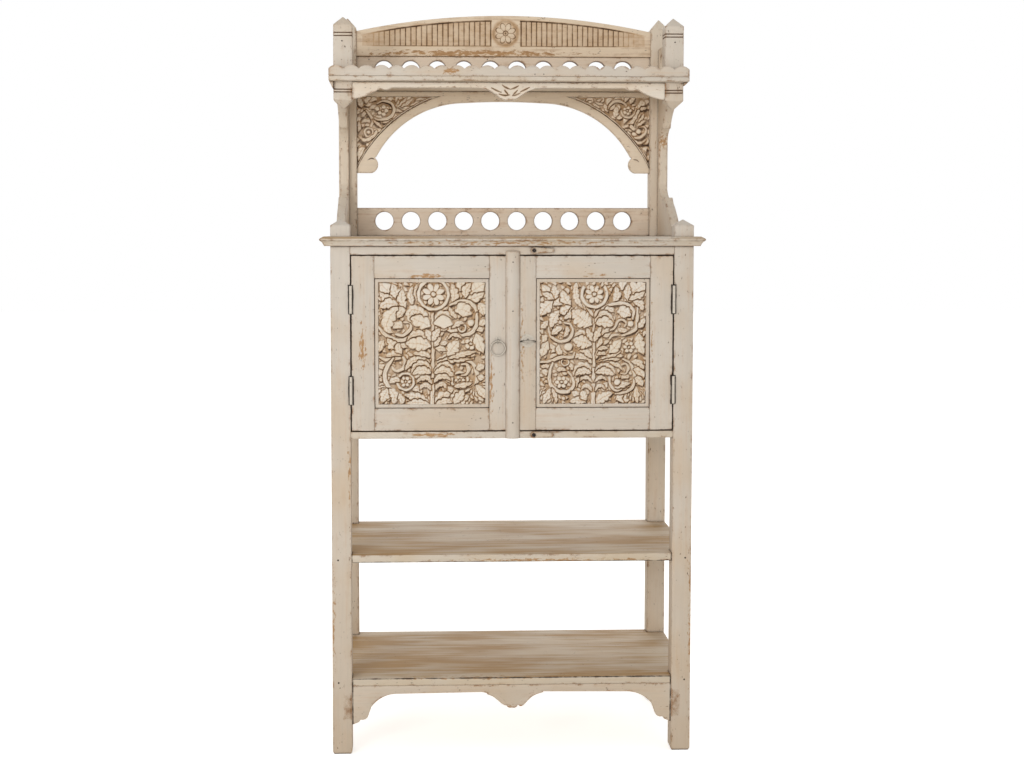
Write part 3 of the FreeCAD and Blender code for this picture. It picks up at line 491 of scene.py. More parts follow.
# Carving: a height from 0, the ground, to 1 at each point of a grid, raised motif by motif
class Carving:
    GROOVE = 1.8  # millimetres round a motif that are cut down to set it off
    WALL = 0.8  # millimetres in which its side rises
    LOBE = 40 / 3  # length of a lobe on a leaf's edge in millimetres
    BROAD = 9  # leaves wider than this in millimetres have lobes and veins
    CLEFT = 0.25  # depth of the midrib's cut
    LOW = 0.7  # height of the foliage behind the motifs

    def __init__(self, x, z, origin, unit, full=1.0, waver=0.0):
        """Motifs are set out on a drawing whose units run right and down from the origin.

        full makes the leaves that much wider, and waver is how far a hand strays, in millimetres.
        """
        self.unit = unit
        self.full = full
        self.level = 1.0
        sway = waver * (np.sin(x / 3.1 + z / 4.7) + np.sin(x / 5.3 - z / 2.9 + 1.7))
        lift = waver * (np.sin(x / 4.3 - z / 3.7 + 0.6) + np.sin(x / 2.7 + z / 6.1 + 2.9))
        self.u = (x + sway - origin[0]) / unit
        self.v = (origin[1] - z - lift) / unit
        self.h = np.zeros_like(x)
        self.line = np.zeros_like(x)

    def near(self, points, reach):
        """The grid points that a motif about these points can touch."""
        points = np.array(points, float)
        margin = reach + 4.0 / self.unit
        low, high = points.min(axis=0) - margin, points.max(axis=0) + margin
        level = (self.u > low[0]) & (self.u < high[0])
        return np.nonzero(level & (self.v > low[1]) & (self.v < high[1]))

    def measure(self, route, reach):
        """The points about a route, how far off and how far along it they lie, and its length."""
        pick = self.near(route, reach)
        step = np.diff(route, axis=0)
        run = np.hypot(step[:, 0], step[:, 1])
        start = np.concatenate([[0], np.cumsum(run)])
        px = self.u[pick][:, None] - route[:-1, 0]
        py = self.v[pick][:, None] - route[:-1, 1]
        t = np.clip((px * step[:, 0] + py * step[:, 1]) / run**2, 0, 1)
        gap = np.hypot(px - t * step[:, 0], py - t * step[:, 1])
        nearest = gap.argmin(axis=1)
        each = np.arange(len(nearest))
        along = (start[nearest] + t[each, nearest] * run[nearest]) / start[-1]
        return pick, gap[each, nearest], along, start[-1]

    def gouge(self, points, width):
        """A cut along a curve, narrow at both ends."""
        pick, away, along, _ = self.measure(smooth_route(points), width)
        half = width / 2 * (0.35 + 0.65 * np.sin(math.pi * along))
        cut = np.exp(-((away / half) ** 2))
        self.h[pick] = self.h[pick] * (1 - cut)
        self.line[pick] = np.maximum(self.line[pick], cut)

    def lay(self, pick, within, rise, mark=0.0):
        """Lays a motif over what is there; within is how far inside its outline a point lies."""
        inside = within * self.unit
        skirt = 0.15 + 0.85 * np.clip(-inside / self.GROOVE, 0, 1)
        wall = 1 - np.exp(-np.clip(inside, 0, None) / self.WALL)
        cut = np.exp(-(((inside + 0.6) / 1.1) ** 2))
        under, soiled = self.h[pick], self.line[pick]
        self.h[pick] = np.where(inside < 0, under * skirt, rise * wall * self.level)
        self.line[pick] = np.where(inside > 0, np.maximum(cut, mark), np.maximum(soiled, cut))

    def leaf(self, width, *line, ends=(0.3, 0.1), lobes=None, midrib=True):
        """A leaf along a curve, given as x, y, x, y; ends are parts of its width.

        One that ends at half its width or more is a stem, and has no lobes.
        """
        stem = ends[1] >= 0.5
        width = width if stem else width * self.full
        route = smooth_route(np.reshape(line, (-1, 2)))
        pick, away, along, length = self.measure(route, width / 2)
        if lobes is None:
            broad = not stem and midrib and width * self.unit > self.BROAD
            lobes = round(length * self.unit / self.LOBE) if broad else 0
        swell = ends[0] + (1 - ends[0]) * np.sin(math.pi / 2 * np.clip(along / 0.45, 0, 1))
        taper = ends[1] + (1 - ends[1]) * np.sin(math.pi / 2 * np.clip((1 - along) / 0.55, 0, 1))
        half = width / 2 * np.minimum(swell, taper)
        if lobes:
            half = half * (0.7 + 0.36 * np.abs(np.sin(math.pi * lobes * along)) ** 0.5)
        across = np.clip(away / np.maximum(half, 1.0), 0, 1)
        rise = 0.6 + 0.4 * np.sqrt(1 - across**2)
        mark = np.zeros_like(rise)
        if midrib:
            middle = np.exp(-((away * self.unit / 0.8) ** 2)) * np.clip(along * 8, 0, 1)
            rise = rise - self.CLEFT * middle
            mark = 0.5 * middle
        if lobes:
            partings = (lobes, 0.25, 2 * across - 0.5)
            veins = (2 * lobes, 0.14, 1.6 - 1.4 * across)
            for count, deep, reach in (partings, veins):
                phase = (along * count - across * 0.5) % 1.0 - 0.5
                cut = np.exp(-((phase * length * self.unit / count / 0.9) ** 2))
                cut = cut * np.clip(reach, 0, 1)
                rise = rise - deep * cut
                mark = np.maximum(mark, 2.6 * deep * cut)
        self.lay(pick, half - away, rise, mark)

    def vine(self, width, *line):
        """A stem that narrows a little to both ends."""
        self.leaf(width, *line, ends=(0.6, 0.6))

    def undergrowth(self, pitch, middle, seed):
        """Low foliage behind the motifs, leaning away from the middle."""
        draw = np.random.default_rng(seed)
        left, right = self.u.min(), self.u.max()
        self.level = self.LOW
        for y in np.arange(self.v.min(), self.v.max() + pitch, pitch * 0.8):
            for x in np.arange(left, right + pitch, pitch):
                dx, dy, turn, bow = draw.uniform(-1, 1, 4)
                x0, y0 = x + 0.35 * pitch * dx, y + 0.35 * pitch * dy
                lean = np.clip(2 * (x0 - middle) / (right - left), -1, 1)
                angle = math.radians(90 - 60 * lean + 45 * turn)
                run, rise = pitch * math.cos(angle), pitch * math.sin(angle)
                half = (x0 + run / 2 + 0.4 * bow * rise, y0 - rise / 2 + 0.4 * bow * run)
                self.leaf(0.5 * pitch, x0, y0, *half, x0 + run, y0 - rise, lobes=0)
        self.level = 1.0

    def fan(self, x, y, angle, reach, lobes, spread, width=0.34):
        """A leaf of pointed lobes, the middle one longest."""
        for i in sorted(range(lobes), key=lambda i: -abs(i - (lobes - 1) / 2)):
            part = i / (lobes - 1) - 0.5
            turn = math.radians(angle + spread * part)
            length = reach * (1 - 0.4 * abs(part))
            tip = (x + length * math.cos(turn), y - length * math.sin(turn))
            self.leaf(reach * width, x, y, *tip)

    def bulb(self, x, y, reach):
        """A round bud or boss."""
        pick = self.near([(x, y)], reach)
        out = np.hypot((self.u[pick] - x) / reach, (self.v[pick] - y) / reach)
        rise = 0.55 + 0.45 * np.sqrt(np.clip(1 - out**2, 0, 1))
        self.lay(pick, (1 - out) * reach, rise)

    def ring(self, x, y, reach, width, opening=0.0):
        """A flat ring, left open at the top by this many degrees."""
        pick = self.near([(x, y)], reach + width / 2)
        dx, dy = self.u[pick] - x, self.v[pick] - y
        within = width / 2 - np.abs(np.hypot(dx, dy) - reach)
        if opening:
            turn = np.degrees(np.abs(np.arctan2(dx, -dy)))
            within = np.minimum(within, (turn - opening / 2) * reach * 0.0175)
        self.lay(pick, within, np.full(within.shape, 0.9))

    def flower(self, x, y, reach, petals, boss=None, start=0.0, rise=1.0):
        """Notched petals round a boss, turned by start degrees."""
        pick = self.near([(x, y)], reach)
        dx, dy = self.u[pick] - x, self.v[pick] - y
        out = np.hypot(dx, dy)
        turn = np.arctan2(dy, dx) + math.radians(start)
        petal = np.abs(np.cos(turn * petals / 2))
        edge = reach * (0.58 + 0.42 * petal**0.7)
        parting = np.exp(-((petal * out * self.unit / 1.6) ** 2))
        height = 0.62 + 0.38 * np.clip(out / reach, 0, 1) - 0.45 * parting
        self.lay(pick, edge - out, rise * height, 0.75 * parting)
        self.bulb(x, y, boss or reach * 0.25)


def upright_grid(across, foot, head, rows, ease=1.0):
    """Grid points between two lines; a larger ease sets the rows closer at the foot."""
    part = np.linspace(0, 1, rows)[:, None] ** ease
    x = np.broadcast_to(across, (rows, len(across))).copy()
    return x, foot + part * (head - foot)


RELIEF_TURN = 60  # degrees between two faces that still shade as one
BEDDED = 0.5  # millimetres that a carved block lies in its board


def relief_piece(
    name, x, z, h, line, ground, back, body,
    slot="carved_paint", order=LENGTHWISE, finish="relief", grown_with=None,
):
    """A closed block whose front is a carved grid; sizes are in millimetres.

    The ground lies a little before the board's own face, so that only one of the two shows.
    """
    index = np.arange(x.size).reshape(x.shape)
    loop = np.concatenate([index[0], index[1:, -1], index[-1, -2::-1], index[-2:0:-1, 0]]).tolist()
    face = np.stack([x, ground - h, z], axis=-1).reshape(-1, 3)
    rear = face[loop]
    rear[:, 1] = back
    corners = [index[:-1, :-1], index[:-1, 1:], index[1:, 1:], index[1:, :-1]]
    faces = np.stack(corners, axis=-1).reshape(-1, 4).tolist()
    size = len(loop)
    for i in range(size):
        j = (i + 1) % size
        faces.append([loop[j], loop[i], x.size + i, x.size + j])
    faces.append([x.size + i for i in range(size - 1, -1, -1)])
    mesh = closed_mesh(name, np.concatenate([face, rear]), faces)
    smooth_faces(mesh, RELIEF_TURN)
    values = np.concatenate([np.clip(line, 0, 1).ravel(), np.zeros(size)])
    attribute = mesh.attributes.new("hollow", "FLOAT", "POINT")
    attribute.data.foreach_set("value", values.astype(np.float32))
    return finish_piece(link(name, mesh), body, slot, order, finish, grown_with)


def eased(values):
    """Each point drawn halfway towards its neighbours, as a sanded or painted edge is."""
    wide = np.pad(values, 1, mode="edge")
    around = wide[:-2, 1:-1] + wide[2:, 1:-1] + wide[1:-1, :-2] + wide[1:-1, 2:]
    return values / 2 + around / 8


def soiled_and_shaded(carving):
    """How soiled and shaded each point is: up to 0.5 on the ground and low slopes, more in the cuts,
    most in the painted shadow under the forms.
    """
    h = carving.h
    bed = np.clip((0.7 - h) / 0.6, 0, 1)
    # Painted shadow: a point lower than the forms above it and to one side is darkened, as if they cast
    # shade on it
    painted_shadow = np.zeros_like(h)
    for down, across, share in ((1, 0, 1.0), (2, 1, 1.0), (3, 1, 0.9), (4, 2, 0.75), (5, 2, 0.6)):
        under = h[down:, : h.shape[1] - across] - h[:-down, across:]
        painted_shadow[:-down, across:] = np.maximum(painted_shadow[:-down, across:], share * under)
    dark = np.maximum(0.62 * carving.line, np.clip(2.4 * painted_shadow - 0.1, 0, 1))
    return eased(eased(np.maximum(0.5 * bed, dark)))


# Right door: a flowering stem between scrolling vines; back leaves first, the stem last
def right_door_motifs(c):
    c.leaf(60, 668, 1010, 580, 950, 470, 930, 400, 970)
    c.leaf(55, 668, 960, 600, 890, 520, 870)
    c.leaf(50, 470, 1090, 430, 1040, 420, 1000)
    c.leaf(46, 640, 1040, 560, 1000, 500, 1030)
    c.leaf(50, 770, 700, 820, 650, 890, 640)
    c.leaf(44, 790, 720, 850, 700, 900, 720)
    c.leaf(60, 110, 690, 140, 740, 120, 800)
    c.leaf(56, 480, 560, 540, 600, 600, 640)
    c.leaf(50, 500, 640, 560, 650, 620, 700)
    c.leaf(50, 560, 330, 600, 400, 650, 460)
    c.leaf(46, 800, 330, 770, 400, 730, 470)
    c.leaf(50, 960, 620, 1010, 650, 1070, 640)
    c.leaf(56, 840, 1230, 800, 1290, 820, 1350)
    c.leaf(46, 520, 1180, 490, 1230, 500, 1290)
    c.leaf(50, 1000, 1190, 1040, 1160, 1090, 1180)
    c.leaf(46, 930, 1000, 960, 940, 1020, 930)
    c.leaf(46, 100, 560, 95, 640, 130, 690)
    c.leaf(46, 270, 1090, 330, 1080, 380, 1100)
    c.leaf(110, 325, 362, 235, 300, 105, 135, ends=(0.1, 0.15), lobes=3)
    c.leaf(80, 240, 300, 250, 220, 230, 140)
    c.leaf(60, 235, 300, 170, 255, 100, 225)
    c.leaf(110, 215, 330, 150, 390, 85, 480, lobes=3)
    c.leaf(90, 420, 370, 365, 300, 330, 200)
    c.leaf(60, 490, 120, 480, 210, 500, 310, 560, 400, ends=(0.5, 0.2))
    c.leaf(70, 905, 330, 945, 260, 930, 150)
    c.leaf(90, 1012, 100, 1005, 150, 1000, 185, ends=(1, 0.5))
    c.leaf(170, 1045, 315, 1130, 220, 1262, 118, lobes=4)
    c.leaf(70, 1060, 310, 1060, 220, 1075, 130)
    c.leaf(70, 1080, 300, 1170, 270, 1262, 215)
    c.leaf(70, 1130, 330, 1200, 350, 1240, 430)
    c.vine(50, 770, 410, 850, 370, 960, 345, 1060, 360, 1130, 430, 1120, 520)
    c.leaf(115, 965, 440, 1015, 440, 1085, 475, ends=(0.5, 0.4), lobes=2)
    c.leaf(60, 800, 430, 860, 410, 920, 440)
    c.vine(45, 1175, 400, 1170, 560, 1150, 640, 1050, 690, 960, 710)
    c.leaf(60, 1185, 620, 1230, 560, 1258, 500)
    c.vine(38, 870, 650, 925, 610, 950, 550, 1000, 528, 1045, 560, 1030, 610)
    c.bulb(1095, 575, 38)
    c.vine(42, 190, 560, 185, 660, 240, 745, 340, 770, 420, 730, 450, 650, 420, 580, 360, 560)
    c.leaf(60, 215, 690, 280, 640, 340, 600)
    c.leaf(45, 350, 720, 390, 660, 385, 590)
    c.leaf(85, 300, 430, 245, 500, 200, 620, lobes=4)
    c.leaf(90, 440, 400, 370, 420, 300, 460)
    c.leaf(60, 440, 390, 420, 470, 340, 520)
    c.leaf(60, 170, 540, 130, 590, 90, 630)
    c.leaf(80, 165, 770, 130, 860, 95, 945, lobes=2)
    c.leaf(70, 330, 930, 260, 880, 195, 790)
    c.leaf(60, 330, 935, 250, 930, 185, 965)
    c.leaf(55, 330, 930, 290, 860, 300, 800)
    c.bulb(400, 830, 50)
    c.ring(365, 1000, 40, 24)
    c.vine(45, 90, 1000, 200, 990, 320, 945, 440, 950, 470, 900)
    c.leaf(50, 190, 1040, 130, 1050, 90, 1040)
    c.leaf(60, 185, 1150, 140, 1110, 95, 1100)
    c.vine(
        50, 225, 1010, 200, 1090, 190, 1180, 215, 1270, 300, 1330, 400, 1330, 460, 1270, 450, 1180,
        400, 1110
    )
    c.flower(325, 1225, 75, 6)
    c.fan(200, 1300, 245, 190, 5, 70)
    c.leaf(40, 215, 1290, 260, 1390, 270, 1470)
    c.leaf(80, 600, 1440, 520, 1380, 430, 1330)
    c.leaf(70, 600, 1450, 500, 1430, 410, 1450)
    c.leaf(70, 600, 1430, 570, 1370, 560, 1310)
    c.leaf(90, 700, 1460, 790, 1400, 900, 1340)
    c.leaf(120, 1100, 1320, 1010, 1390, 930, 1420, lobes=2)
    c.leaf(70, 1090, 1330, 1060, 1400, 1050, 1465)
    c.fan(1160, 1275, 275, 200, 7, 80, 0.28)
    c.vine(45, 1010, 970, 1090, 1010, 1130, 1090, 1150, 1180, 1120, 1290, 1040, 1340, 930, 1360)
    c.leaf(80, 1140, 1090, 1200, 1110, 1250, 1190, lobes=2)
    c.leaf(70, 1150, 1180, 1200, 1210, 1235, 1280)
    c.leaf(60, 1110, 1000, 1190, 1010, 1255, 1090)
    c.vine(40, 860, 1170, 880, 1270, 940, 1320, 1020, 1290, 1090, 1240)
    c.leaf(60, 930, 1290, 1000, 1260, 1100, 1240)
    c.bulb(950, 1230, 40)
    c.vine(32, 960, 1050, 1040, 1020, 1075, 1070, 1050, 1130, 990, 1130)
    c.leaf(90, 1190, 690, 1200, 800, 1245, 925, lobes=3)
    c.flower(1080, 835, 70, 6)
    c.leaf(30, 690, 400, 688, 520, 683, 660, 686, 800, ends=(0.9, 0.9))
    c.leaf(40, 685, 780, 692, 900, 688, 1090, ends=(0.9, 0.9))
    c.leaf(52, 688, 1080, 684, 1280, 680, 1480, ends=(0.8, 1))
    c.leaf(55, 720, 1000, 830, 960, 1000, 880)
    c.leaf(50, 720, 1010, 850, 990, 1000, 960)
    c.leaf(50, 730, 1020, 860, 1020, 960, 1040, 1020, 1110)
    c.leaf(40, 715, 960, 735, 890, 790, 860)
    c.leaf(40, 720, 920, 780, 900, 830, 930)
    c.leaf(90, 865, 895, 920, 840, 985, 745, lobes=2)
    c.leaf(30, 850, 760, 880, 715, 940, 695, 990, 715)
    c.leaf(55, 715, 860, 780, 800, 870, 760)
    c.leaf(50, 720, 850, 760, 780, 770, 720)
    c.leaf(45, 725, 860, 800, 840, 850, 850)
    c.leaf(60, 655, 1110, 620, 1050, 545, 1035, 480, 1090, 455, 1160)
    c.leaf(70, 650, 1120, 560, 1100, 470, 1150, lobes=4)
    c.leaf(60, 705, 1110, 750, 1060, 820, 1045, 890, 1080, 935, 1145)
    c.leaf(70, 710, 1120, 810, 1100, 925, 1150, lobes=4)
    c.leaf(40, 670, 1230, 620, 1180, 560, 1180, 530, 1220)
    c.leaf(40, 665, 1330, 630, 1275, 580, 1270, 545, 1320)
    c.leaf(40, 694, 1230, 744, 1180, 804, 1180, 834, 1220)
    c.leaf(40, 699, 1330, 734, 1275, 784, 1270, 819, 1320)
    c.leaf(60, 650, 780, 600, 700, 530, 670, 460, 720)
    c.leaf(120, 655, 805, 560, 775, 450, 745, lobes=4)
    c.leaf(55, 705, 560, 740, 480, 800, 455, 870, 500, 912, 575)
    c.leaf(100, 715, 570, 800, 552, 912, 590, lobes=3)
    c.leaf(150, 650, 580, 550, 520, 455, 430, ends=(0.3, 0.3), lobes=4)
    c.leaf(60, 682, 770, 640, 690, 600, 620)
    c.leaf(60, 690, 770, 720, 700, 770, 600)
    c.leaf(30, 688, 500, 640, 430, 590, 385)
    c.leaf(30, 692, 500, 720, 440, 760, 410)
    c.ring(690, 245, 140, 42, 100)
    c.flower(690, 245, 108, 8, 26, 22)


# Left door: the same design by another hand, with plainer and rounder leaves
def left_door_motifs(c):
    c.leaf(56, 400, 640, 440, 610, 480, 640)
    c.leaf(50, 410, 800, 460, 780, 520, 800)
    c.leaf(50, 840, 660, 890, 650, 930, 680)
    c.leaf(50, 960, 860, 1020, 850, 1080, 870)
    c.leaf(46, 560, 1040, 600, 1030, 640, 1060)
    c.leaf(50, 820, 1130, 860, 1150, 900, 1140)
    c.leaf(50, 700, 880, 640, 850, 560, 850)
    c.leaf(40, 700, 920, 640, 900, 590, 920)
    c.leaf(46, 640, 480, 600, 500, 560, 470)
    c.leaf(40, 790, 480, 830, 490, 850, 460)
    c.leaf(50, 300, 560, 320, 600, 300, 640)
    c.leaf(40, 285, 980, 300, 1010, 290, 1040)
    c.leaf(40, 420, 1020, 400, 1060, 410, 1100)
    c.leaf(44, 560, 1150, 600, 1140, 640, 1180)
    c.leaf(40, 870, 1090, 850, 1050, 860, 1010)
    c.leaf(44, 770, 660, 800, 640, 850, 650)
    c.leaf(110, 450, 440, 370, 350, 290, 270, lobes=2)
    c.leaf(70, 440, 430, 420, 350, 390, 275)
    c.leaf(60, 430, 430, 350, 400, 285, 345)
    c.leaf(70, 440, 450, 350, 440, 290, 480)
    c.leaf(60, 500, 470, 470, 400, 480, 320)
    c.leaf(50, 560, 450, 545, 380, 560, 290)
    c.leaf(26, 600, 280, 580, 350, 600, 430)
    c.leaf(55, 885, 440, 905, 370, 880, 270)
    c.leaf(70, 965, 262, 960, 300, 950, 330, ends=(1, 0.4))
    c.leaf(130, 985, 400, 1060, 330, 1150, 270, lobes=3)
    c.leaf(60, 990, 390, 1000, 320, 1040, 270)
    c.leaf(60, 1000, 410, 1080, 390, 1150, 350)
    c.vine(42, 870, 450, 940, 425, 1020, 430, 1080, 490, 1070, 560)
    c.leaf(96, 925, 500, 970, 490, 1030, 520, ends=(0.5, 0.4), lobes=2)
    c.leaf(40, 860, 470, 880, 520, 930, 560)
    c.leaf(60, 1100, 440, 1130, 480, 1140, 540)
    c.leaf(50, 1095, 640, 1130, 600, 1150, 560)
    c.vine(38, 1085, 520, 1080, 620, 1040, 680, 960, 700, 900, 690)
    c.ring(965, 640, 30, 18)
    c.leaf(36, 880, 640, 940, 600, 990, 600)
    c.bulb(1035, 600, 30)
    c.leaf(85, 440, 470, 370, 550, 350, 640, 400, 680, lobes=4)
    c.leaf(50, 450, 470, 470, 500, 430, 560)
    c.vine(34, 420, 690, 480, 700, 540, 650, 540, 600, 490, 590)
    c.vine(40, 280, 630, 330, 690, 400, 730, 480, 740, 560, 690)
    c.leaf(70, 470, 850, 410, 800, 350, 720)
    c.leaf(60, 470, 860, 400, 860, 335, 870)
    c.leaf(50, 465, 850, 440, 800, 455, 760)
    c.leaf(50, 320, 740, 295, 790, 285, 840)
    c.vine(36, 285, 880, 340, 900, 420, 890, 490, 880)
    c.vine(36, 480, 880, 500, 930, 470, 980, 420, 990, 390, 960)
    c.leaf(50, 500, 980, 560, 910, 680, 890)
    c.leaf(40, 350, 950, 310, 960, 280, 930)
    c.leaf(36, 330, 1030, 300, 1060, 280, 1050)
    c.leaf(50, 340, 1090, 300, 1130, 280, 1180)
    c.vine(42, 400, 890, 350, 960, 330, 1040, 360, 1120, 430, 1170)
    c.ring(500, 1080, 68, 24)
    c.flower(500, 1080, 48, 6)
    c.leaf(40, 370, 1090, 420, 1060, 460, 1090)
    c.ring(945, 1070, 65, 24)
    c.flower(945, 1070, 45, 6)
    c.leaf(40, 900, 1120, 980, 1110, 1050, 1090)
    c.leaf(26, 725, 480, 722, 580, 726, 680, 724, 780, ends=(0.9, 0.9))
    c.leaf(30, 725, 735, 727, 860, 722, 1080, ends=(0.9, 0.9))
    c.leaf(40, 722, 1070, 721, 1180, 722, 1285, ends=(0.8, 1))
    c.leaf(50, 760, 900, 850, 880, 1000, 830)
    c.leaf(46, 760, 920, 880, 900, 1050, 900)
    c.leaf(40, 850, 890, 960, 860, 1090, 830)
    c.leaf(85, 850, 860, 890, 800, 940, 745)
    c.leaf(28, 850, 730, 890, 695, 940, 710, 960, 740)
    c.flower(1035, 770, 55, 5)
    c.leaf(70, 1080, 690, 1110, 780, 1140, 850, lobes=2)
    c.leaf(40, 1085, 660, 1120, 650, 1150, 640)
    c.vine(40, 1000, 920, 1050, 930, 1080, 990, 1090, 1060, 1060, 1130, 990, 1160)
    c.leaf(50, 1080, 970, 1120, 960, 1150, 940)
    c.leaf(44, 1090, 1040, 1120, 1050, 1150, 1060)
    c.vine(34, 960, 940, 1000, 940, 1020, 980, 1000, 1020, 960, 1030)
    c.fan(1080, 1110, 300, 160, 6, 90)
    c.fan(350, 1140, 235, 130, 4, 80, 0.5)
    c.leaf(60, 370, 1140, 410, 1190, 400, 1270)
    c.leaf(50, 450, 1180, 470, 1230, 460, 1270)
    c.leaf(60, 690, 1260, 600, 1210, 480, 1190)
    c.leaf(46, 690, 1265, 590, 1250, 500, 1265)
    c.leaf(60, 745, 1260, 800, 1200, 880, 1180)
    c.leaf(46, 750, 1265, 830, 1240, 900, 1250)
    c.fan(900, 1260, 40, 150, 4, 80, 0.42)
    c.leaf(45, 710, 1000, 680, 950, 620, 930, 565, 970, 550, 1020)
    c.leaf(60, 705, 1010, 630, 985, 555, 1020, lobes=4)
    c.leaf(45, 735, 1005, 770, 960, 830, 940, 880, 980, 900, 1035)
    c.leaf(60, 740, 1010, 820, 990, 900, 1040, lobes=4)
    c.leaf(40, 715, 1100, 680, 1050, 620, 1060, 590, 1090)
    c.leaf(40, 735, 1090, 770, 1045, 830, 1040, 875, 1080)
    c.leaf(34, 710, 1150, 680, 1110, 640, 1115, 615, 1150)
    c.leaf(34, 745, 1150, 770, 1110, 815, 1105, 840, 1150)
    c.leaf(50, 740, 800, 790, 770, 850, 760)
    c.leaf(40, 740, 790, 770, 740, 790, 710)
    c.leaf(40, 745, 810, 800, 810, 840, 830)
    c.leaf(50, 700, 770, 650, 700, 570, 690, 510, 750)
    c.leaf(122, 698, 790, 620, 770, 520, 765, ends=(0.35, 0.5), lobes=3)
    c.leaf(60, 690, 600, 640, 520, 560, 490, 535, 550, 590, 630)
    c.leaf(120, 698, 622, 630, 590, 560, 560, ends=(0.35, 0.5), lobes=2)
    c.leaf(45, 745, 580, 770, 535, 830, 525, 885, 590)
    c.leaf(85, 745, 600, 815, 590, 890, 610, midrib=False)
    c.leaf(50, 725, 745, 690, 690, 665, 650)
    c.leaf(50, 725, 745, 750, 690, 785, 640)
    c.leaf(26, 722, 510, 690, 470, 665, 455)
    c.leaf(26, 728, 510, 760, 475, 790, 455)
    c.ring(730, 365, 122, 30)
    c.flower(730, 365, 95, 8, 22, 22)


RELIEF_STEP = 0.86
DOOR_RISE = 5.2
FIELD_EDGE = 16.0  # from the panel's box, past its tongue and band, to the sunk ground
FIELD_SUNK = 5.0
DOOR_FULL, DOOR_WAVER, DOOR_UNDERGROWTH = 1.36, 0.4, 14
for side, motifs, middle, unit, seed in (
    ("left", left_door_motifs, (717, 766), 0.2824, 3),
    ("right", right_door_motifs, (675, 788), 0.208, 5),
):
    low, high = box_mm(side + "_door_panel")
    x0, x1 = low.x + FIELD_EDGE, high.x - FIELD_EDGE
    z0, z1 = low.z + FIELD_EDGE, high.z - FIELD_EDGE
    x, z = np.meshgrid(
        np.linspace(x0, x1, round((x1 - x0) / RELIEF_STEP) + 1),
        np.linspace(z0, z1, round((z1 - z0) / RELIEF_STEP) + 1),
    )
    corner = ((x0 + x1) / 2 - middle[0] * unit, (z0 + z1) / 2 + middle[1] * unit)
    carving = Carving(x, z, corner, unit, DOOR_FULL, DOOR_WAVER)
    carving.undergrowth(DOOR_UNDERGROWTH / unit, middle[0], seed)
    motifs(carving)
    ground = low.y + FIELD_SUNK
    relief_piece(
        side + "_door_carving", x, z, eased(carving.h) * DOOR_RISE, soiled_and_shaded(carving), ground - 0.15,
        ground + BEDDED, side + "_door", order=UPRIGHT,
    )


# Spandrels over the arch: a trunk with scrolls, a flower and fronds that run to the crown
def left_spandrel_motifs(c):
    c.leaf(40, 1060, 330, 1130, 260, 1250, 250, 1340, 225)
    c.leaf(50, 990, 370, 1080, 330, 1150, 280)
    c.leaf(50, 735, 430, 780, 330, 790, 250)
    c.leaf(55, 750, 430, 850, 330, 940, 210)
    c.leaf(55, 770, 430, 880, 370, 1060, 220)
    c.leaf(60, 780, 440, 900, 420, 1050, 390)
    c.leaf(50, 700, 440, 790, 445, 880, 490)
    c.leaf(50, 520, 650, 600, 640, 690, 590)
    c.leaf(40, 520, 720, 600, 690, 700, 600)
    c.leaf(
        60, 340, 560, 420, 600, 540, 600, 650, 560, 710, 470, 700, 370, 620, 300, 520, 290,
        430, 330, ends=(0.6, 0.5)
    )
    c.flower(520, 450, 100, 5)
    c.bulb(430, 420, 40)
    c.leaf(60, 75, 520, 110, 450, 160, 410)
    c.leaf(70, 160, 560, 210, 500, 230, 440)
    c.leaf(70, 240, 330, 250, 270, 330, 215)
    c.leaf(90, 160, 390, 130, 300, 100, 215, lobes=2)
    c.leaf(60, 160, 650, 230, 620, 310, 640, 310, 700)
    c.vine(60, 240, 450, 310, 540, 350, 620, 330, 700, 300, 760)
    c.leaf(50, 350, 600, 440, 680, 530, 760)
    c.ring(280, 820, 72, 38)
    c.bulb(280, 820, 34)
    c.leaf(60, 110, 640, 120, 740, 95, 830)
    c.leaf(60, 420, 790, 380, 870, 300, 930, 200, 950, 90, 870, ends=(0.6, 0.3))
    c.bulb(270, 1040, 40)
    c.leaf(110, 200, 1090, 140, 1150, 120, 1340, ends=(0.4, 0.1), lobes=3)


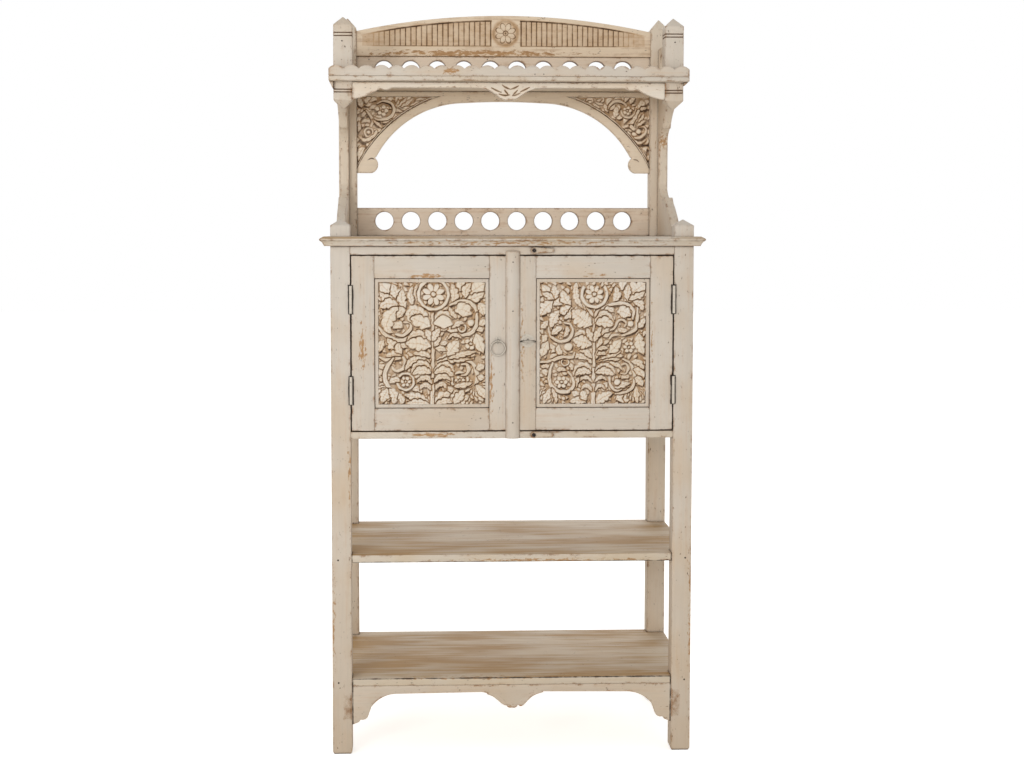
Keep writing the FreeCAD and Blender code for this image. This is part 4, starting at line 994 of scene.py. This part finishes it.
def right_spandrel_motifs(c):
    c.leaf(30, 20, 250, 120, 275, 210, 285)
    c.bulb(215, 285, 30)
    c.leaf(40, 230, 300, 290, 250, 350, 260, 360, 320)
    c.leaf(40, 160, 330, 260, 340, 350, 370)
    c.leaf(45, 380, 330, 450, 290, 520, 250)
    c.leaf(50, 370, 330, 440, 390, 490, 400)
    c.leaf(40, 400, 300, 460, 330, 550, 360)
    c.leaf(60, 620, 470, 580, 400, 560, 320)
    c.leaf(40, 560, 540, 680, 600, 790, 680, 830, 690)
    c.leaf(90, 740, 560, 760, 460, 760, 370)
    c.leaf(55, 620, 420, 680, 330, 780, 285, 900, 330, 950, 400, ends=(0.5, 0.5))
    c.vine(45, 1100, 430, 1060, 520, 960, 570, 870, 520, 850, 440)
    c.flower(950, 450, 80, 5)
    c.leaf(70, 1010, 330, 1030, 270, 1090, 215)
    c.leaf(110, 1150, 430, 1200, 340, 1190, 260, lobes=2)
    c.leaf(60, 1160, 430, 1230, 410, 1290, 400)
    c.leaf(70, 1080, 720, 1130, 600, 1180, 470)
    c.leaf(60, 1100, 720, 1190, 600, 1240, 480)
    c.leaf(60, 1120, 720, 1220, 640, 1270, 600)
    c.leaf(60, 1150, 440, 1090, 560, 1030, 650, 940, 720, 850, 770, ends=(0.6, 0.4))
    c.leaf(
        55, 1000, 810, 1020, 890, 1110, 915, 1210, 880, 1275, 800, 1240, 720, 1160, 730,
        ends=(0.6, 0.5)
    )
    c.bulb(1150, 805, 48)
    c.leaf(50, 840, 760, 920, 720, 990, 690)
    c.leaf(50, 870, 790, 960, 790, 1050, 790)
    c.leaf(60, 1000, 690, 1040, 740, 1080, 800)
    c.leaf(55, 960, 800, 1030, 930, 1130, 1000, 1220, 980, 1290, 920, ends=(0.5, 0.4))
    c.leaf(40, 1050, 1040, 1150, 1080, 1200, 1120)
    c.leaf(70, 1150, 1120, 1200, 1200, 1270, 1400)
    c.leaf(50, 1180, 1130, 1250, 1170, 1295, 1180)
    c.leaf(50, 1220, 1150, 1260, 1250, 1290, 1340)


ARCH_FRONT = front + 406
SPANDREL_TOP, SPANDREL_SIDE, SPANDREL_TIP = 1567.0, 375.0, 185.0
ARCH_CENTRE, ARCH_RADIUS = (53.6, 1226.2), 358.5
SPANDREL_DEPTH = 4.0
SPANDREL_COLUMNS, SPANDREL_ROWS = 190, 150
SPANDREL_FULL, SPANDREL_WAVER, SPANDREL_UNDERGROWTH, SPANDREL_SEED = 1.25, 0.3, 20, 7
CLEAR = 0.6
BORDER, BORDER_OFF = 3.6, 4.5  # width of the arch's border, and how far above the edge it runs


def arch_line(across):
    """Height of the arch's edge at this distance from the middle."""
    return ARCH_CENTRE[1] + np.sqrt(ARCH_RADIUS**2 - (across - ARCH_CENTRE[0]) ** 2)


for side, sign, motifs, origin, unit in (
    ("left", -1, left_spandrel_motifs, (-386.6, 1598.2), 0.149),
    ("right", 1, right_spandrel_motifs, (174.8, 1600.3), 0.150),
):
    across = np.linspace(SPANDREL_TIP, SPANDREL_SIDE - CLEAR, SPANDREL_COLUMNS)
    foot, head = arch_line(across) + CLEAR, SPANDREL_TOP - CLEAR
    x, z = upright_grid(sign * across, foot, head, SPANDREL_ROWS)
    carving = Carving(x, z, origin, unit, SPANDREL_FULL, SPANDREL_WAVER)
    carving.undergrowth(SPANDREL_UNDERGROWTH / unit, -sign * origin[0] / unit, SPANDREL_SEED)
    motifs(carving)
    border = []
    for a in np.linspace(SPANDREL_TIP, SPANDREL_SIDE, 9):
        border += [(sign * a - origin[0]) / unit, (origin[1] - arch_line(a) - BORDER_OFF) / unit]
    carving.leaf(BORDER / unit, *border, ends=(1, 1), midrib=False)
    ground = ARCH_FRONT + SPANDREL_DEPTH
    relief_piece(
        side + "_spandrel_carving", x, z, eased(carving.h) * (SPANDREL_DEPTH - 0.2),
        soiled_and_shaded(carving), ground - 0.1, ground + BEDDED, "carcass",
    )


# Crest: a board with an arched top, reeded to both sides of a rosette
low, high = box_mm("crest_board")
CREST_RADIUS = 1777.8
CREST_CUT = 2.0
CREST_COLUMNS, CREST_ROWS = 767, 96
REEDS = 24
REEDED_TO, REEDED_FOOT, REEDED_HEAD = 359, 1694.5, 13  # the last is from the arched top
FAINTEST, FADE = 372, 90  # where the reeds are worn down, and how far they take to fade
ROSETTE, ROSETTE_REACH, PETALS = (4.2, 1726.7), 26, 8


def crest_line(across):
    """Height of the crest's arched top at this distance from the middle."""
    return high.z - CREST_RADIUS + np.sqrt(CREST_RADIUS**2 - across**2)


across = np.linspace(low.x, high.x, CREST_COLUMNS)
x, z = upright_grid(across, low.z, crest_line(across), CREST_ROWS)
carving = Carving(x, z, (0, 0), 1.0)
carving.h[:] = 1.0
under_top = crest_line(x) - REEDED_HEAD - z
for sign, near in ((-1, 33), (1, 43)):
    out = sign * x
    inside = np.minimum.reduce([out - near, REEDED_TO - out, z - REEDED_FOOT, under_top])
    pitch = (REEDED_TO - 2 - near) / REEDS
    phase = ((out - near - 1) / pitch) % 1.0 - 0.5
    reed = np.sqrt(np.clip(1 - (2 * phase) ** 2, 0, 1))
    # The reeds fade towards the ends, where they are most worn
    faint = np.clip((FAINTEST - out) / FADE, 0.2, 1)
    parting = np.exp(-(((0.5 - np.abs(phase)) * pitch / 1.8) ** 2)) * faint
    carving.h = np.where(inside > 0, 1 - faint * (0.9 - 0.8 * reed), carving.h)
    carving.line = np.where(inside > 0, np.maximum(0.24, 0.9 * parting), carving.line)
    head = np.exp(-((under_top / 2.4) ** 2))
    border = np.maximum(head, 0.75 * np.exp(-((inside / 1.6) ** 2)))
    edged = np.maximum(carving.line, border * faint)
    carving.line = np.where(inside > -3, edged, carving.line)
carving.flower(ROSETTE[0], -ROSETTE[1], ROSETTE_REACH, PETALS, boss=5.5, start=22, rise=1.9)
far = np.hypot(x - ROSETTE[0], z - ROSETTE[1])
halo, eye = 0.5 * np.exp(-(((far - 30) / 6) ** 2)), np.exp(-((far / 3.0) ** 2))
rim = np.minimum.reduce([x - low.x, high.x - x, z - low.z, crest_line(x) - z])
crest = relief_piece(
    "crest_carved", x, z, carving.h * CREST_CUT - 1.2 * np.clip(1 - rim / 1.6, 0, 1) ** 2,
    np.maximum.reduce([carving.line, halo, eye]), low.y + CREST_CUT, high.y, "carcass",
    finish="relief_worn",
)
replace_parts(crest, "crest_board")


# Leaf drop in the middle of the upper apron: cuts, set out from the middle and the top
APRON_FRONT = front + 162
APRON_TOP = 1581.0
LEAF_LEFT, LEAF_MIDDLE, LEAF_RIGHT, LEAF_MARGIN = -54, 3, 60, 3
LEAF_TOP = APRON_TOP - 5
LEAF_COLUMNS, LEAF_ROWS = 115, 40
LEAF_CUT = 4.2
across = np.linspace(LEAF_LEFT, LEAF_RIGHT, LEAF_COLUMNS)
drop = np.interp(np.abs(across - LEAF_MIDDLE), (0, 18, 38, 70), (43.5, 39.5, 26, 14))
foot = APRON_TOP - drop + LEAF_MARGIN
x, z = upright_grid(across, foot, LEAF_TOP, LEAF_ROWS)
carving = Carving(x, z, (LEAF_MIDDLE, APRON_TOP), 1.0)
carving.h[:] = 1.0
for stroke in (
    [(-45.5, 13.8), (-34.8, 19.5), (-21.4, 25)],
    [(46, 12.5), (34.8, 18.2), (24, 23.2)],
    [(-20, 6.8), (-12, 12.5), (0, 17.5)],
    [(20, 8.8), (10.7, 13.8), (0, 17.5)],
    [(-14.7, 18.8), (-9.4, 25), (-4.8, 30.5)],
    [(17.4, 19.2), (10.7, 26.2), (4.8, 32.5)],
    [(-28, 28.8), (-14.7, 31.8), (-1.3, 30.8)],
    [(24, 26), (16, 30), (5, 33)],
):
    carving.gouge(stroke, LEAF_CUT)
rim = np.minimum.reduce([x - LEAF_LEFT, LEAF_RIGHT - x, z - foot, LEAF_TOP - z])
relief_piece(
    "apron_leaf", x, z, 0.4 * carving.h * np.clip(rim / 4.0, 0, 1), carving.line,
    APRON_FRONT - 0.05, APRON_FRONT + BEDDED, "carcass", "frame_paint", finish="relief_apron",
    grown_with="upper_apron_worn",
)


# Lobed end of the drop on the lower apron, in the same board
low, high = box_mm("lower_apron")
LOBES_TOP, LOBES_ROWS, LOBES_EASE = 150, 26, 1.5
left_nick, right_nick = (-7.6, 115), (13.5, 114)
left_lobe = [(-59, 139.4), (-46.3, 134.1), (-36, 126.5), (-28.5, 120), (-22, 115), (-14.5, 112)]
middle_lobe = [(-4.3, 109.8), (2, 106.4), (8.4, 108.6)]
right_lobe = [(18.6, 110), (25, 111.6), (31.3, 117), (37.7, 124), (47.8, 133), (60.5, 139), (73, 142.5)]
lobes = [left_lobe + [left_nick], [left_nick] + middle_lobe + [right_nick], [right_nick] + right_lobe]
edge = np.concatenate([smooth_route(lobe)[:-1] for lobe in lobes] + [right_lobe[-1:]])
x, z = upright_grid(edge[:, 0], edge[:, 1], LOBES_TOP, LOBES_ROWS, LOBES_EASE)
height = np.zeros_like(x)
for nick, lean in ((left_nick, 0.3), (right_nick, -0.3)):
    up = z - nick[1]
    away = np.abs(x - nick[0] - lean * up)
    height -= 1.6 * np.exp(-((away / 1.5) ** 2)) * np.clip(1 - up / 14, 0, 1)
height -= 1.0 * np.clip(1 - (z - edge[:, 1]) / 1.6, 0, 1) ** 2
# The block sinks into the apron a little above the apron's own edge
sawn = np.interp(np.abs(x), (0, 14, 21, 30, 41, 58, 76), (107, 114, 123, 131, 136.6, 141, 144.5))
height -= 0.9 * np.clip((z - sawn - 3) / 2.5, 0, 1)
relief_piece(
    "lower_apron_lobes", x, z, height, np.zeros_like(x), low.y - 0.2, high.y + 0.2, "carcass",
    "frame_paint", finish="frame_paint", grown_with="lower_apron_worn",
)


# Gouge cuts that curl round the feet of the arch, drawn as flat dark slivers: painted shade for the
# cut's depth, and old soil
for side, route in (
    ("left", [(-348.5, 1405), (-338, 1410), (-330, 1407)]),
    ("right", [(332.4, 1408), (341.5, 1407), (347.7, 1402)]),
):
    route = smooth_route(route)
    step = np.gradient(route, axis=0)
    step = step / np.hypot(step[:, 0], step[:, 1])[:, None]
    width = 0.3 + 1.3 * np.sin(np.linspace(0, math.pi, len(route)))
    rows = np.array([-1.0, 0.0, 1.0])[:, None] * width
    x = route[:, 0] - rows * step[:, 1]
    z = route[:, 1] + rows * step[:, 0]
    relief_piece(
        side + "_foot_cut", x, z, np.zeros_like(x), np.ones_like(x), ARCH_FRONT - 0.12,
        ARCH_FRONT + BEDDED, "carcass",
    )


# Wrought nails: shallow faceted heads, rusted dark; depths in millimetres, widths in reaches
NAIL_SIDES = 9
NAIL_PROFILE = ((0.6, 1.0), (0.05, 1.0), (-0.5, 0.7), (-0.72, 0.3))


def nails(name, spots, body):
    """Nail heads at these places, each with its reach, as one piece."""
    points, faces = [], []
    for x, y, z, reach in spots:
        start = len(points)
        for depth, wide in NAIL_PROFILE:
            for turn in 2 * math.pi * np.arange(NAIL_SIDES) / NAIL_SIDES:
                out = reach * wide
                points.append((x + out * math.cos(turn), y + depth, z + out * math.sin(turn)))
        last = start + (len(NAIL_PROFILE) - 1) * NAIL_SIDES
        for ring in range(start, last, NAIL_SIDES):
            for k in range(NAIL_SIDES):
                a, b = ring + k, ring + (k + 1) % NAIL_SIDES
                faces.append((a, b, b + NAIL_SIDES, a + NAIL_SIDES))
        faces.append(range(last, last + NAIL_SIDES))
        faces.append(range(start + NAIL_SIDES - 1, start - 1, -1))
    mesh = closed_mesh(name, np.array(points), faces)
    finish_piece(link(name, mesh), body, "iron", finish="bare_iron")


STRIP_FRONT = front + 134
leg_nails = [(x, front, z, 2.2) for x in (-406, 406) for z in (170, 460)]
post_nails = [(x, APRON_FRONT, 1677, 1.9) for x in (-399, 399)]
strip_nails = [(x, STRIP_FRONT, 1597, 1.4) for x in (60, 81)]
crest_nails = [(-42, ARCH_FRONT, 1661, 1.7)]
nails("frame_nails", leg_nails + post_nails + strip_nails + crest_nails, "carcass")
bead_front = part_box("meeting_bead")[0].y / MM
nails("bead_nails", [(0, bead_front, z, 1.6) for z in (781, 1040, 1153)], "right_door")


# Camera at the photographed viewing point, with the picture's framing as lens shift
VIEW_POINT = (-0.208598, -3.758620, 1.220947)
YAW, PITCH, ROLL = (math.radians(a) for a in (2.13755, 3.53727, 0.01714))
reach = math.cos(PITCH)
forward = Vector((math.sin(YAW) * reach, math.cos(YAW) * reach, -math.sin(PITCH)))
right = Vector((math.cos(YAW), -math.sin(YAW), 0))
upward = right.cross(forward)
level = right * math.cos(ROLL) + upward * math.sin(ROLL)
upright = upward * math.cos(ROLL) - right * math.sin(ROLL)
lens = bpy.data.cameras.new("camera")
lens.sensor_width = 36
lens.lens = 54.266
lens.shift_x = 0.03125
lens.shift_y = -0.0546875
lens.clip_end = 50
camera = link("camera", lens)
turned = Matrix((level, upright, -forward)).transposed().to_4x4()
camera.matrix_world = Matrix.Translation(VIEW_POINT) @ turned
scene.camera = camera


# Soft studio light, and a white sweep for the camera
def softbox(name, place, aim, size, power):
    lamp = bpy.data.lights.new(name, "AREA")
    lamp.shape = "SQUARE"
    lamp.size = size
    lamp.energy = power
    holder = link(name, lamp)
    holder.location = place
    holder.rotation_euler = (Vector(aim) - Vector(place)).to_track_quat("-Z", "Y").to_euler()


softbox("key", (-2.1, -3.7, 1.95), (0, 0, 1.15), 1.2, 46)
softbox("front", (-0.4, -4.8, 1.3), (0, 0, 1.1), 1.6, 30)
softbox("fill", (2.6, -3.2, 1.6), (0, 0, 0.9), 2.2, 6)
softbox("back", (0.5, 3.2, 2.6), (0, 0, 1.0), 2.2, 32)


def background_rays(node):
    """1 where the background is seen, straight or in a gloss, and 0 where it only lights."""
    path = node("LightPath")
    seen = path["Is Camera Ray"]
    for ray in ("Is Glossy Ray", "Is Transmission Ray"):
        seen = node("Math", {0: seen, 1: path[ray]}, operation="MAXIMUM")[0]
    return seen


WHITE = (1, 1, 1, 1)
SKY_LIGHT, FLOOR_GLOW = 0.58, 0.6
world = bpy.data.worlds.new("studio")
scene.world = world
world.use_nodes = True
world.node_tree.nodes.clear()
node = partial(add, world.node_tree)
strength = node("MapRange", {0: background_rays(node), 3: SKY_LIGHT, 4: 1.0})[0]
sky = node("Background", {"Color": WHITE, "Strength": strength})[0]
node("OutputWorld", {"Surface": sky})

material, node = fresh("studio_floor")
matt = node("BsdfDiffuse", {"Color": linear("#F4F1EC")})[0]
glow = node("Emission", {"Color": WHITE, "Strength": FLOOR_GLOW})[0]
lift = node("AddShader", {0: matt, 1: glow})[0]
shown = node("MixShader", {0: background_rays(node), 1: matt, 2: lift})[0]
node("OutputMaterial", {"Surface": shown})
SWEEP = 20
mesh = bpy.data.meshes.new("studio_floor")
corners = [(-SWEEP, -SWEEP, 0), (SWEEP, -SWEEP, 0), (SWEEP, SWEEP, 0), (-SWEEP, SWEEP, 0)]
mesh.from_pydata(corners, [], [(0, 1, 2, 3)])
mesh.materials.append(material)
link("studio_floor", mesh)
